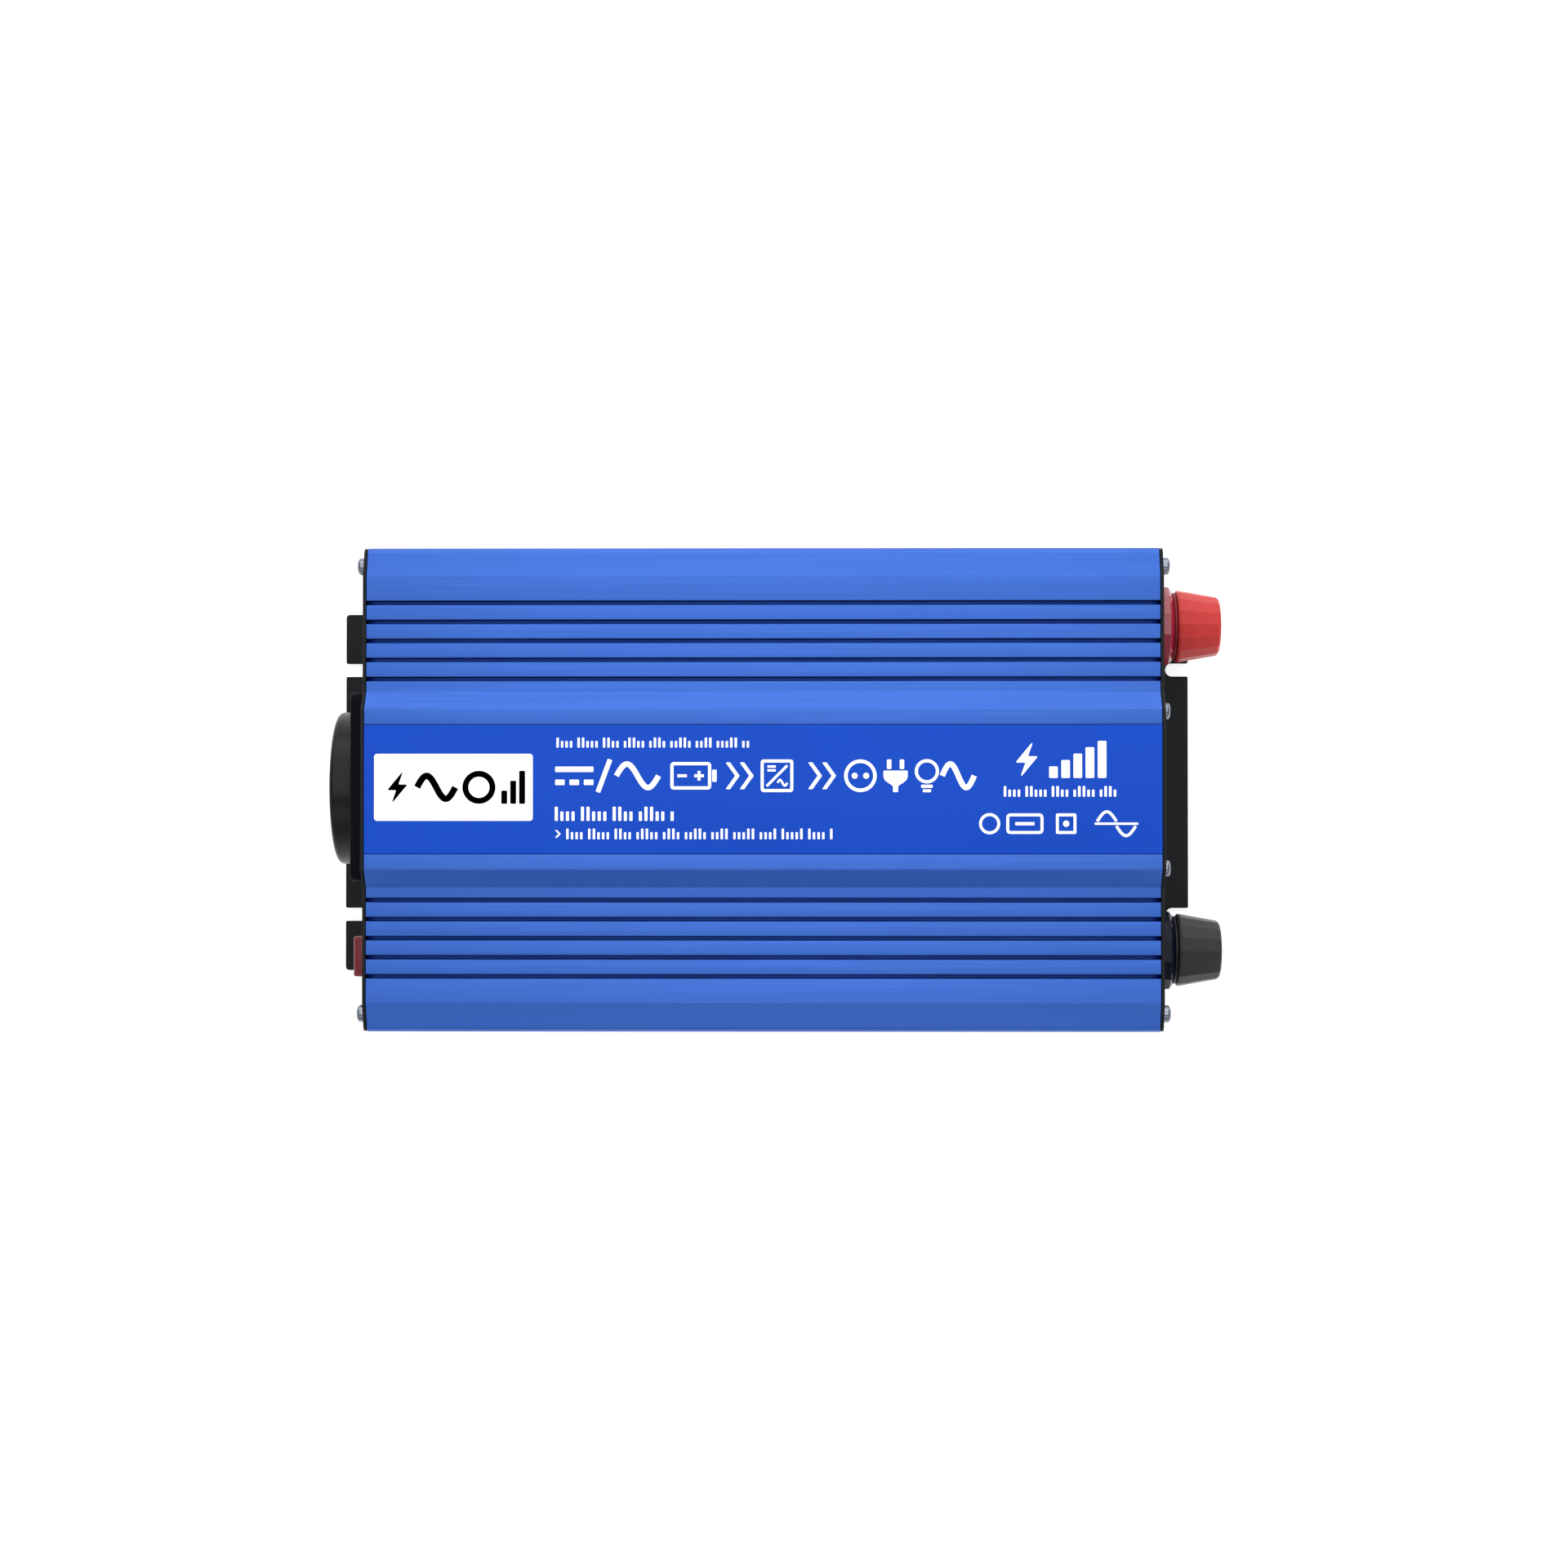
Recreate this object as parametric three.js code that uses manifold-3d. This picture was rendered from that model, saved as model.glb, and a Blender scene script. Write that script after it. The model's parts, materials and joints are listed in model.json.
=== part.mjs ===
// Tabletop 600 W class DC to AC power inverter: an extruded aluminium shell on a slotted base plate,
// with a mains socket and a rocker switch at one end, and a fan and two screw terminals at the other.
// Millimetres. X runs along the body from the mains end (-X) to the battery end (+X), Y across it,
// Z up. The origin is at the centre of the underside.
import * as THREE from "three";
import { mergeVertices } from "three/addons/utils/BufferGeometryUtils.js";
import Module from "manifold-3d";

const wasm = await Module();
wasm.setup();

// ---------- driving dimensions ----------
const WELD = 1e-4; // vertices closer than this are one vertex
const GAP = 0.3; // clearance between neighbouring solids
const M3 = { shank: 1.5, bore: 1.8, head: 2.75, headHeight: 2.7, length: 10 };

// Shell
const LENGTH = 250;
const END_X = LENGTH / 2;
const HALF_WIDTH = 76.5;
const TOP_Z = 75;
const DECK_Z = 70.5;
const PLATEAU_HALF = 25.2;
const SLOPE_FOOT = 30.8;
const DECK_GROOVE = { first: 34.8, pitch: 6, count: 5, width: 1.35, depth: 2.8 };
const SIDE_GROOVE = { first: 18, pitch: 8, count: 5, width: 1.6, depth: 1.3 };
const SHOULDER = { startY: 67.2, endY: 74.0, endZ: 68.0, edgeZ: 65.2 };
const WALL_INNER = 73.4;
const DECK_INNER_Z = 66.3;
const PLATEAU_INNER = { half: 23.6, z: 71.5 };
const CORNER_INNER = { y: 70.6, z: 62.8 };
const LEDGE = { y: 70.2, low: 2.3, high: 3.9 };
const BOARD_GUIDE = { y: 71.4, low: 11.6, mid: 12.9, midHigh: 15.1, high: 16.3 };
const TOP_BOSS = { y: 71, z: 61.6, r: 3.2 };

// Label foil in its recess on the plateau
const LABEL = { half: 20.2, recess: 0.5, thickness: 0.4 };

// Base plate
const PLATE_T = 2;
const PLATE_HALF = 73.1;
const TONGUE = { half: 60, endX: 142 };
const SLOT = { y: 41.2, width: 4.4, depth: 7.6 };
const BASE_BOSS = { y: 66.2, z: 7, r: 3.1, webHalf: 2 };

// End plates
const END_PLATE = { gap: 0.2, t: 1, inset: 0.15, tongueRelief: 60.4, low: 0.4 };
const END_FACE = END_X + END_PLATE.gap + END_PLATE.t;
const PANEL_Y = 0.9; // the panel parts sit this far behind the centre line
const PANEL_Z = 37;

// Mains socket (two round pins, side earth clips)
const SOCKET = {
  half: 30, corner: 4, plateOut: 4.5, rimR: 24.7, out: 12.1, rimEdge: 1.2,
  cavityR: 19.6, cavityDepth: 17.5, bodyR: 21.3, holeR: 21.7, back: 18.5,
  pinY: 9.5, pinHoleR: 2.75, chamberR: 3.9, floor: 1.6,
};
const EARTH = { half: 3.5, t: 0.9, legR: 20.3, notchHalf: 4.2, notchR: 21.9, noseR: 17.4 };
const SLEEVE = { outer: 3.5, inner: 2.5, length: 14 };

// Rocker switch
const SWITCH = {
  y: -53.6, bezelY: 8.9, bezelZ: 12.6, bezelOut: 1.8, mouthY: 6.8, mouthZ: 10.5,
  bodyY: 7.6, bodyZ: 11.5, depth: 15, cavity: 8, pinR: 1.0, pinBore: 1.3,
};
const ROCKER = {
  halfY: 6.5, halfZ: 9.75, faceEnd: 5.0, faceMid: 3.6, back: 5.2, pivotIn: 1.6,
  tilt: -10, // at rest its upper end stands out, and the joint turns it by twice this
};

// Charging port and lamps beside the socket
const USB = { y: 51, z: 40, halfY: 6.6, halfZ: 2.9, wall: 0.4, depth: 14, out: 0.4 };
const USB_TONGUE = { halfY: 5.5, low: 0.1, high: 1.9, length: 9, foot: 2 };
const LAMP = { y: [44.5, 57.5], z: 55, r: 2.5, flangeR: 2.9, out: 1.6, back: 7 };
const INTAKE = { y: 47.5, count: 7, pitch: 4.5, width: 2.4, height: 12, low: 7.5 };

// Battery terminals
const TERMINAL = { y: 52.7, z: 35 };
const COLLAR = { facets: 12, r: 13, endR: 11.6, length: 4.9, total: 6.1, spigotR: 6, spigot: 4 };
const CAP = { facets: 16, gap: 1.2, baseR: 11.8, tipR: 9.45, length: 14.2, edge: 1.3, boreR: 3.4, bore: 11 };
const STUD = { r: 3, out: 16.5, back: 16, headR: 5, head: 2.5 };
const WASHER = { r: 11.0, holeR: 3.3, t: 0.8 };
const NUT = { across: 10, t: 4 };

// Fan
const FAN = { z: 36, half: 30, t: 20, boreR: 28.5, hole: 25, hubR: 12, motorR: 13, base: 2.5, blades: 7 };
const BLADE = { halfChord: 7.6, halfT: 0.6, pitch: 34, tipGap: 0.7 };
const FAN_FACE = END_X - GAP;
const FAN_CORNERS = [[1, 1], [-1, 1], [1, -1], [-1, -1]].map(([a, b]) => [a * FAN.hole, b * FAN.hole]);
const GRILLE = { rings: [[6, 10.5], [13, 17.5], [20, 24.5]], arcs: 4, bridge: 3 };

// Inside
const BOARD = { halfX: 100, halfY: 72.9, low: 13.2, t: 1.6 };
const BOARD_TOP = BOARD.low + BOARD.t;
const TRANSFORMER = { x: 12, y: [-19, 19], half: 17, leg: 5, core: 12, height: 30, wall: 5, lift: 3 };
const CAPACITORS = [
  { name: "input_capacitor_1", x: 62, y: -22, r: 8, height: 25 },
  { name: "input_capacitor_2", x: 62, y: 22, r: 8, height: 25 },
  { name: "bus_capacitor", x: -38, y: 26, r: 11, height: 35 },
];
const CHOKE = { x: -66, y: 24, ring: 12, wire: 5.2 };
const HEAT_BAR = { out: 72.9, thickness: 8, foot: 4, low: 17, high: 50 };
const TRANSISTOR = { half: 8, t: 5, low: 22, height: 20, x: [-14, 14], pins: [-5, 0, 5], pinHalf: 0.6 };
const BARS = [
  { name: "heat_bar_input", side: -1, x: 40, half: 44 },
  { name: "heat_bar_output", side: 1, x: -10, half: 44 },
];
const LEAD = { batteryR: 2.6, socketR: 1.4 };

// ---------- materials ----------
function finish(color, roughness, metalness) {
  return new THREE.MeshStandardMaterial({ color, roughness, metalness });
}
const ANODISED_BLUE = finish(0x4c7ce2, 0.42, 0.6);
const LABEL_BLUE = finish(0x2150cb, 0.5, 0.0);
const BLACK_PAINT = finish(0x1c1e20, 0.5, 0.2);
const BRIGHT_STEEL = finish(0xc9ccd0, 0.25, 1.0);
const BRASS = finish(0xc8a04e, 0.3, 1.0);
const BLACK_GLOSS = finish(0x161616, 0.22, 0.0);
const BLACK_MATT = finish(0x1b1b1b, 0.6, 0.0);
const CLEAR_RED = finish(0x8d2b3a, 0.25, 0.0);
const WHITE_PLASTIC = finish(0xe8e8e4, 0.45, 0.0);
const LAMP_GREEN = finish(0x58c46a, 0.2, 0.0);
const LAMP_RED = finish(0xd24438, 0.2, 0.0);
const TERMINAL_RED = finish(0xd24646, 0.35, 0.0);
const TERMINAL_BLACK = finish(0x3e3e3c, 0.35, 0.0);
const BOARD_GREEN = finish(0x1d5c37, 0.5, 0.0);
const FERRITE = finish(0x3a3a3e, 0.7, 0.1);
const WINDING_TAPE = finish(0xd9b23a, 0.5, 0.0);
const COPPER = finish(0xb56a3a, 0.35, 0.9);
const SLEEVING = finish(0x20222e, 0.4, 0.0);
const PLAIN_ALUMINIUM = finish(0xb9bcc0, 0.4, 1.0);

const TERMINALS = [
  { label: "red", y: PANEL_Y + TERMINAL.y, material: TERMINAL_RED },
  { label: "black", y: PANEL_Y - TERMINAL.y, material: TERMINAL_BLACK },
];

// ---------- solids ----------
function solid(geometry) {
  const bare = geometry.index ? geometry.toNonIndexed() : geometry.clone();
  bare.deleteAttribute("normal");
  bare.deleteAttribute("uv");
  const merged = mergeVertices(bare, WELD);
  const corners = merged.index.array;
  const triVerts = [];
  for (let i = 0; i < corners.length; i += 3) {
    const [a, b, c] = corners.slice(i, i + 3);
    if (a !== b && b !== c && c !== a) triVerts.push(a, b, c);
  }
  const made = new wasm.Manifold(
    new wasm.Mesh({
      numProp: 3,
      vertProperties: merged.attributes.position.array,
      triVerts: new Uint32Array(triVerts),
    }),
  );
  return made;
}

function shell(made) {
  const mesh = made.getMesh();
  const geometry = new THREE.BufferGeometry();
  geometry.setAttribute("position", new THREE.BufferAttribute(mesh.vertProperties, 3));
  geometry.setIndex(new THREE.BufferAttribute(mesh.triVerts, 1));
  const flat = geometry.toNonIndexed();
  flat.computeVertexNormals();
  return flat;
}

function join(...geometries) {
  return shell(geometries.map(solid).reduce((a, b) => a.add(b)));
}

function cut(geometry, ...tools) {
  return shell(tools.map(solid).reduce((a, b) => a.subtract(b), solid(geometry)));
}

function common(a, b) {
  return shell(solid(a).intersect(solid(b)));
}

// Plane shapes are drawn as [first, second] pairs and swept along the remaining axis.
function outline(points) {
  return new THREE.Shape(points.map(([u, v]) => new THREE.Vector2(u, v)));
}

const AXES = { X: [1, 0, 0], Y: [0, 1, 0], Z: [0, 0, 1] };
const SWEEP = { X: ["Y", "Z", "X"], Y: ["Z", "X", "Y"], Z: ["X", "Y", "Z"] };

function turnTo(geometry, axis) {
  const columns = SWEEP[axis].map((name) => new THREE.Vector3(...AXES[name]));
  return geometry.applyMatrix4(new THREE.Matrix4().makeBasis(...columns));
}

// A shape in the plane across `axis` (Y,Z for X; Z,X for Y; X,Y for Z), swept from `low` to `high`.
function sweep(shape, axis, low, high, curveSegments = 12) {
  const options = { depth: high - low, bevelEnabled: false, steps: 1, curveSegments };
  const geometry = new THREE.ExtrudeGeometry(shape, options);
  geometry.translate(0, 0, low);
  return turnTo(geometry, axis);
}

function block(x0, x1, y0, y1, z0, z1) {
  const geometry = new THREE.BoxGeometry(x1 - x0, y1 - y0, z1 - z0);
  return geometry.translate((x0 + x1) / 2, (y0 + y1) / 2, (z0 + z1) / 2);
}

// A ring of revolution about a line along `axis`; the profile is [radius, place along the axis].
function revolve(profile, axis, segments = 24) {
  const points = profile.map(([r, along]) => new THREE.Vector2(r, along));
  const geometry = new THREE.LatheGeometry(points, segments);
  geometry.rotateX(Math.PI / 2);
  return turnTo(geometry, axis);
}

function rod(r, axis, low, high, segments = 24) {
  return revolve([[0, low], [r, low], [r, high], [0, high]], axis, segments);
}

function tubeRing(outer, inner, axis, low, high, segments = 24) {
  const profile = [[inner, low], [outer, low], [outer, high], [inner, high], [inner, low]];
  return revolve(profile, axis, segments);
}

function roundedRect(halfU, halfV, r) {
  const shape = new THREE.Shape();
  shape.moveTo(halfU - r, -halfV);
  shape.absarc(halfU - r, -halfV + r, r, -Math.PI / 2, 0);
  shape.absarc(halfU - r, halfV - r, r, 0, Math.PI / 2);
  shape.absarc(-halfU + r, halfV - r, r, Math.PI / 2, Math.PI);
  shape.absarc(-halfU + r, -halfV + r, r, Math.PI, 1.5 * Math.PI);
  return shape;
}

function arcPoints(cu, cv, ru, rv, from, to, steps) {
  return Array.from({ length: steps + 1 }, (_, i) => {
    const angle = THREE.MathUtils.degToRad(from + ((to - from) * i) / steps);
    return [cu + ru * Math.cos(angle), cv + rv * Math.sin(angle)];
  });
}

// The range from `near` to `far` away from the middle, on the side that `sign` says, low end first.
function span(sign, near, far) {
  return [sign * near, sign * far].sort((a, b) => a - b);
}

function mirrored(half) {
  const left = half.map(([y, z]) => [-y, z]).reverse();
  return [...left, ...half];
}

const root = new THREE.Group();

function add(name, geometry, material) {
  const mesh = new THREE.Mesh(geometry, material);
  mesh.name = name;
  root.add(mesh);
}

// ---------- shell, label and base ----------
function shoulderPoints(inset) {
  const edge = arcPoints(
    SHOULDER.endY - inset, SHOULDER.edgeZ - inset,
    HALF_WIDTH - SHOULDER.endY, SHOULDER.endZ - SHOULDER.edgeZ, 90, 0, 4,
  );
  return [[SHOULDER.startY - inset / 2, DECK_Z - inset], ...edge];
}

function deckGrooves() {
  const { first, pitch, count, width, depth } = DECK_GROOVE;
  return Array.from({ length: count }, (_, i) => first + i * pitch).flatMap((y) => [
    [y - width / 2, DECK_Z],
    [y - width / 2, DECK_Z - depth],
    [y + width / 2, DECK_Z - depth],
    [y + width / 2, DECK_Z],
  ]);
}

function sideGrooves() {
  const { first, pitch, count, width, depth } = SIDE_GROOVE;
  return Array.from({ length: count }, (_, i) => first + (count - 1 - i) * pitch).flatMap((z) => [
    [HALF_WIDTH, z + width / 2],
    [HALF_WIDTH - depth, z + width / 2],
    [HALF_WIDTH - depth, z - width / 2],
    [HALF_WIDTH, z - width / 2],
  ]);
}

function housingOutline() {
  const outer = [
    [LABEL.half + 0.2, TOP_Z - LABEL.recess],
    [LABEL.half + 0.2, TOP_Z],
    [PLATEAU_HALF, TOP_Z],
    [SLOPE_FOOT, DECK_Z],
    ...deckGrooves(),
    ...shoulderPoints(0),
    ...sideGrooves(),
    [HALF_WIDTH, 0],
  ];
  const inner = [
    [WALL_INNER, 0],
    [WALL_INNER, LEDGE.low],
    [LEDGE.y, LEDGE.low],
    [LEDGE.y, LEDGE.high],
    [WALL_INNER, LEDGE.high],
    [WALL_INNER, BOARD_GUIDE.low],
    [BOARD_GUIDE.y, BOARD_GUIDE.low],
    [BOARD_GUIDE.y, BOARD_GUIDE.mid],
    [WALL_INNER, BOARD_GUIDE.mid],
    [WALL_INNER, BOARD_GUIDE.midHigh],
    [BOARD_GUIDE.y, BOARD_GUIDE.midHigh],
    [BOARD_GUIDE.y, BOARD_GUIDE.high],
    [WALL_INNER, BOARD_GUIDE.high],
    [WALL_INNER, CORNER_INNER.z],
    [CORNER_INNER.y, DECK_INNER_Z],
    [SLOPE_FOOT - 2, DECK_INNER_Z],
    [PLATEAU_INNER.half, PLATEAU_INNER.z],
  ];
  return [...mirrored(outer), ...mirrored(inner.reverse()).reverse()];
}

function addHousing() {
  const body = sweep(outline(housingOutline().reverse()), "X", -END_X, END_X);
  const bosses = [-1, 1].map((side) =>
    rod(TOP_BOSS.r, "X", -END_X, END_X, 20).translate(0, side * TOP_BOSS.y, TOP_BOSS.z),
  );
  const bores = [-1, 1].map((side) =>
    rod(M3.bore, "X", -END_X - 1, END_X + 1, 12).translate(0, side * TOP_BOSS.y, TOP_BOSS.z),
  );
  add("housing", cut(join(body, ...bosses), ...bores), ANODISED_BLUE);
}

function addLabel() {
  const low = TOP_Z - LABEL.thickness;
  add("label_foil", block(-END_X, END_X, -LABEL.half, LABEL.half, low, TOP_Z), LABEL_BLUE);
}

function addBasePlate() {
  const parts = [
    block(-END_X, END_X, -PLATE_HALF, PLATE_HALF, 0, PLATE_T),
    block(-TONGUE.endX, TONGUE.endX, -TONGUE.half, TONGUE.half, 0, PLATE_T),
  ];
  const bores = [];
  for (const side of [-1, 1]) {
    const y = side * BASE_BOSS.y;
    parts.push(rod(BASE_BOSS.r, "X", -END_X, END_X, 20).translate(0, y, BASE_BOSS.z));
    parts.push(block(-END_X, END_X, y - BASE_BOSS.webHalf, y + BASE_BOSS.webHalf, 1, BASE_BOSS.z - 2));
    bores.push(rod(M3.bore, "X", -END_X - 1, END_X + 1, 12).translate(0, y, BASE_BOSS.z));
  }
  const slots = [];
  for (const end of [-1, 1]) {
    for (const side of [-1, 1]) {
      const r = SLOT.width / 2;
      const centre = TONGUE.endX - SLOT.depth + r;
      const y = side * SLOT.y;
      slots.push(rod(r, "Z", -1, PLATE_T + 1, 20).translate(end * centre, y, 0));
      slots.push(block(...span(end, centre, TONGUE.endX + 1), y - r, y + r, -1, PLATE_T + 1));
    }
  }
  add("base_plate", cut(join(...parts), ...bores, ...slots), BLACK_PAINT);
}

// ---------- end plates and their screws ----------
function endPlateOutline() {
  const half = [
    [PLATEAU_HALF - END_PLATE.inset / 2, TOP_Z - END_PLATE.inset],
    [SLOPE_FOOT - END_PLATE.inset / 2, DECK_Z - END_PLATE.inset],
    ...shoulderPoints(END_PLATE.inset),
    [HALF_WIDTH - END_PLATE.inset, END_PLATE.low],
    [END_PLATE.tongueRelief, END_PLATE.low],
    [END_PLATE.tongueRelief, PLATE_T + GAP],
  ];
  return mirrored(half);
}

const CORNERS = [
  [TOP_BOSS.y, TOP_BOSS.z],
  [-TOP_BOSS.y, TOP_BOSS.z],
  [BASE_BOSS.y, BASE_BOSS.z],
  [-BASE_BOSS.y, BASE_BOSS.z],
];

// Everything on an end is drawn for the battery end (+X) or the mains end (-X) at its true place.
function endPlateBlank(end) {
  const faces = span(end, END_X + END_PLATE.gap, END_FACE);
  const plate = sweep(outline(endPlateOutline().reverse()), "X", ...faces);
  const holes = CORNERS.map(([y, z]) => rod(M3.bore, "X", -END_FACE - 1, END_FACE + 1, 12).translate(0, y, z));
  return cut(plate, ...holes);
}

// A pan head screw whose head rests at `face` and whose shank runs inwards.
function panScrew(end, face) {
  const { shank, head, headHeight, length } = M3;
  const seat = face + 0.1;
  const profile = [
    [0, seat - length], [shank, seat - length], [shank, seat], [head, seat],
    [head, seat + headHeight * 0.6], [head * 0.86, seat + headHeight * 0.87],
    [head * 0.5, seat + headHeight], [0, seat + headHeight],
  ];
  const body = revolve(profile, "X", 12);
  const cross = [[1.5, 0.35], [0.35, 1.5]].map(([u, v]) =>
    block(seat + headHeight - 0.9, seat + headHeight + 1, -u, u, -v, v),
  );
  const screw = cut(body, ...cross);
  return end > 0 ? screw : screw.rotateZ(Math.PI);
}

function addEndScrews(end, label) {
  CORNERS.forEach(([y, z], i) => {
    add(`${label}_plate_screw_${i + 1}`, panScrew(end, END_FACE).translate(0, y, z), BRIGHT_STEEL);
  });
}

function intakeSlots(centreY) {
  return Array.from({ length: INTAKE.count }, (_, i) => {
    const y = centreY + (i - (INTAKE.count - 1) / 2) * INTAKE.pitch;
    const shape = roundedRect(INTAKE.width / 2, INTAKE.height / 2, INTAKE.width / 2 - 0.05);
    return sweep(shape, "X", -END_FACE - 1, -END_X, 2).translate(0, y, INTAKE.low + INTAKE.height / 2);
  });
}

function addAcEndPlate() {
  const through = [-END_FACE - 1, -END_X];
  const holes = [
    rod(SOCKET.holeR, "X", ...through, 32).translate(0, PANEL_Y, PANEL_Z),
    block(...through, SWITCH.y - SWITCH.bodyY - GAP, SWITCH.y + SWITCH.bodyY + GAP,
      PANEL_Z - SWITCH.bodyZ - GAP, PANEL_Z + SWITCH.bodyZ + GAP),
    block(...through, USB.y - USB.halfY - GAP, USB.y + USB.halfY + GAP,
      USB.z - USB.halfZ - GAP, USB.z + USB.halfZ + GAP),
    ...LAMP.y.map((y) => rod(LAMP.r + GAP / 2, "X", ...through, 20).translate(0, y, LAMP.z)),
    ...intakeSlots(-INTAKE.y),
    ...intakeSlots(INTAKE.y),
  ];
  add("ac_end_plate", cut(endPlateBlank(-1), ...holes), BLACK_PAINT);
}

function grilleArcs() {
  const sectors = [];
  for (const [inner, outer] of GRILLE.rings) {
    for (let i = 0; i < GRILLE.arcs; i += 1) {
      const middle = (inner + outer) / 2;
      const shrink = THREE.MathUtils.radToDeg(GRILLE.bridge / 2 / middle);
      const from = 45 + (i * 360) / GRILLE.arcs + shrink;
      const to = 45 + ((i + 1) * 360) / GRILLE.arcs - shrink;
      const points = [
        ...arcPoints(0, 0, outer, outer, from, to, 5),
        ...arcPoints(0, 0, inner, inner, to, from, 5),
      ];
      sectors.push(sweep(outline(points), "X", END_X, END_FACE + 1).translate(0, 0, FAN.z));
    }
  }
  return sectors;
}

function addDcEndPlate() {
  const holes = [
    ...TERMINALS.map(({ y }) => rod(COLLAR.spigotR + GAP, "X", END_X, END_FACE + 1, 24)
      .translate(0, y, TERMINAL.z)),
    ...FAN_CORNERS.map(([y, z]) => rod(M3.bore, "X", END_X, END_FACE + 1, 12).translate(0, y, FAN.z + z)),
    ...grilleArcs(),
  ];
  add("dc_end_plate", cut(endPlateBlank(1), ...holes), BLACK_PAINT);
}

// ---------- mains socket ----------
function addSocketBody() {
  const face = -END_FACE - 0.2;
  const rimFace = -END_FACE - SOCKET.out;
  const floorX = rimFace + SOCKET.cavityDepth;
  const backX = -END_FACE + SOCKET.back;
  const plate = sweep(roundedRect(SOCKET.half, SOCKET.half, SOCKET.corner), "X",
    -END_FACE - SOCKET.plateOut, face, 5);
  const body = revolve([
    [0, rimFace + 1], [SOCKET.rimR - SOCKET.rimEdge, rimFace], [SOCKET.rimR - 0.35, rimFace + 0.35],
    [SOCKET.rimR, rimFace + SOCKET.rimEdge], [SOCKET.rimR, -END_FACE - SOCKET.plateOut + 1],
    [SOCKET.bodyR, -END_FACE - SOCKET.plateOut + 1], [SOCKET.bodyR, backX], [0, backX],
  ], "X", 48);
  const lugs = [-1, 1].map((side) =>
    block(-END_X + GAP, -END_X + 3, side * SOCKET.bodyR - 1.4, side * SOCKET.bodyR + 1.4, -4, 4),
  );
  const cavity = rod(SOCKET.cavityR, "X", rimFace - 1, floorX, 48);
  const notches = [-1, 1].flatMap((side) => [
    block(rimFace + 2, floorX, -EARTH.notchHalf, EARTH.notchHalf,
      ...span(side, EARTH.noseR - 1, EARTH.notchR)),
    block(floorX - 1, backX + 1, -EARTH.notchHalf, EARTH.notchHalf,
      ...span(side, EARTH.legR - 0.5, SOCKET.bodyR + 1)),
  ]);
  const pinWays = [-1, 1].flatMap((side) => [
    rod(SOCKET.pinHoleR, "X", floorX - 1, backX + 1, 20).translate(0, side * SOCKET.pinY, 0),
    rod(SOCKET.chamberR, "X", floorX + SOCKET.floor, backX + 1, 20).translate(0, side * SOCKET.pinY, 0),
  ]);
  const made = cut(join(plate, body, ...lugs), cavity, ...notches, ...pinWays);
  add("socket_body", made.translate(0, PANEL_Y, PANEL_Z), BLACK_GLOSS);
}

// One bent strip: two sprung legs along the cavity's sides, joined behind the insert.
function addEarthClip() {
  const rimFace = -END_FACE - SOCKET.out;
  const floorX = rimFace + SOCKET.cavityDepth;
  const backX = -END_FACE + SOCKET.back + GAP;
  const { legR, t, noseR } = EARTH;
  const half = [
    [legR + t, backX + t],
    [legR + t, floorX - 2],
    [noseR + t, floorX - 7],
    [noseR + t + 1.6, rimFace + 3],
    [noseR + 1.6, rimFace + 2.8],
    [noseR, floorX - 7],
    [legR, floorX - 2],
    [legR, backX],
  ];
  const strip = [...half, ...half.map(([z, x]) => [-z, x]).reverse()];
  const made = sweep(outline(strip.reverse()), "Y", -EARTH.half, EARTH.half);
  add("socket_earth_clip", made.translate(0, PANEL_Y, PANEL_Z), BRIGHT_STEEL);
}

function addContactSleeves() {
  const front = -END_FACE - SOCKET.out + SOCKET.cavityDepth + SOCKET.floor + GAP;
  const { outer, inner, length } = SLEEVE;
  [["line", 1], ["neutral", -1]].forEach(([label, side]) => {
    const profile = [
      [inner, front], [outer, front], [outer, front + length], [0, front + length],
      [0, front + length - 1], [inner, front + length - 1], [inner, front],
    ];
    const sleeve = revolve(profile, "X", 20);
    add(`socket_contact_${label}`, sleeve.translate(0, PANEL_Y + side * SOCKET.pinY, PANEL_Z), BRASS);
  });
}

// ---------- rocker switch ----------
function addSwitchBody() {
  const face = -END_FACE - 0.1;
  const bezelFace = -END_FACE - SWITCH.bezelOut;
  const bezel = sweep(roundedRect(SWITCH.bezelY, SWITCH.bezelZ, 1.2), "X", bezelFace, face, 4);
  const body = block(face - 1, face + SWITCH.depth, -SWITCH.bodyY, SWITCH.bodyY, -SWITCH.bodyZ, SWITCH.bodyZ);
  const tabs = [-6.5, 0, 6.5].map((z) =>
    block(face + SWITCH.depth - 1, face + SWITCH.depth + 7, -2.4, 2.4, z - 0.4, z + 0.4),
  );
  const mouth = block(bezelFace - 1, face + SWITCH.cavity, -SWITCH.mouthY, SWITCH.mouthY,
    -SWITCH.mouthZ, SWITCH.mouthZ);
  const pinBore = rod(SWITCH.pinBore, "Y", -SWITCH.bodyY - 1, SWITCH.bodyY + 1, 16)
    .translate(-END_FACE + ROCKER.pivotIn, 0, 0);
  const made = cut(join(bezel, body, ...tabs), mouth, pinBore);
  add("switch_body", made.translate(0, SWITCH.y, PANEL_Z), BLACK_MATT);
}

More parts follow.
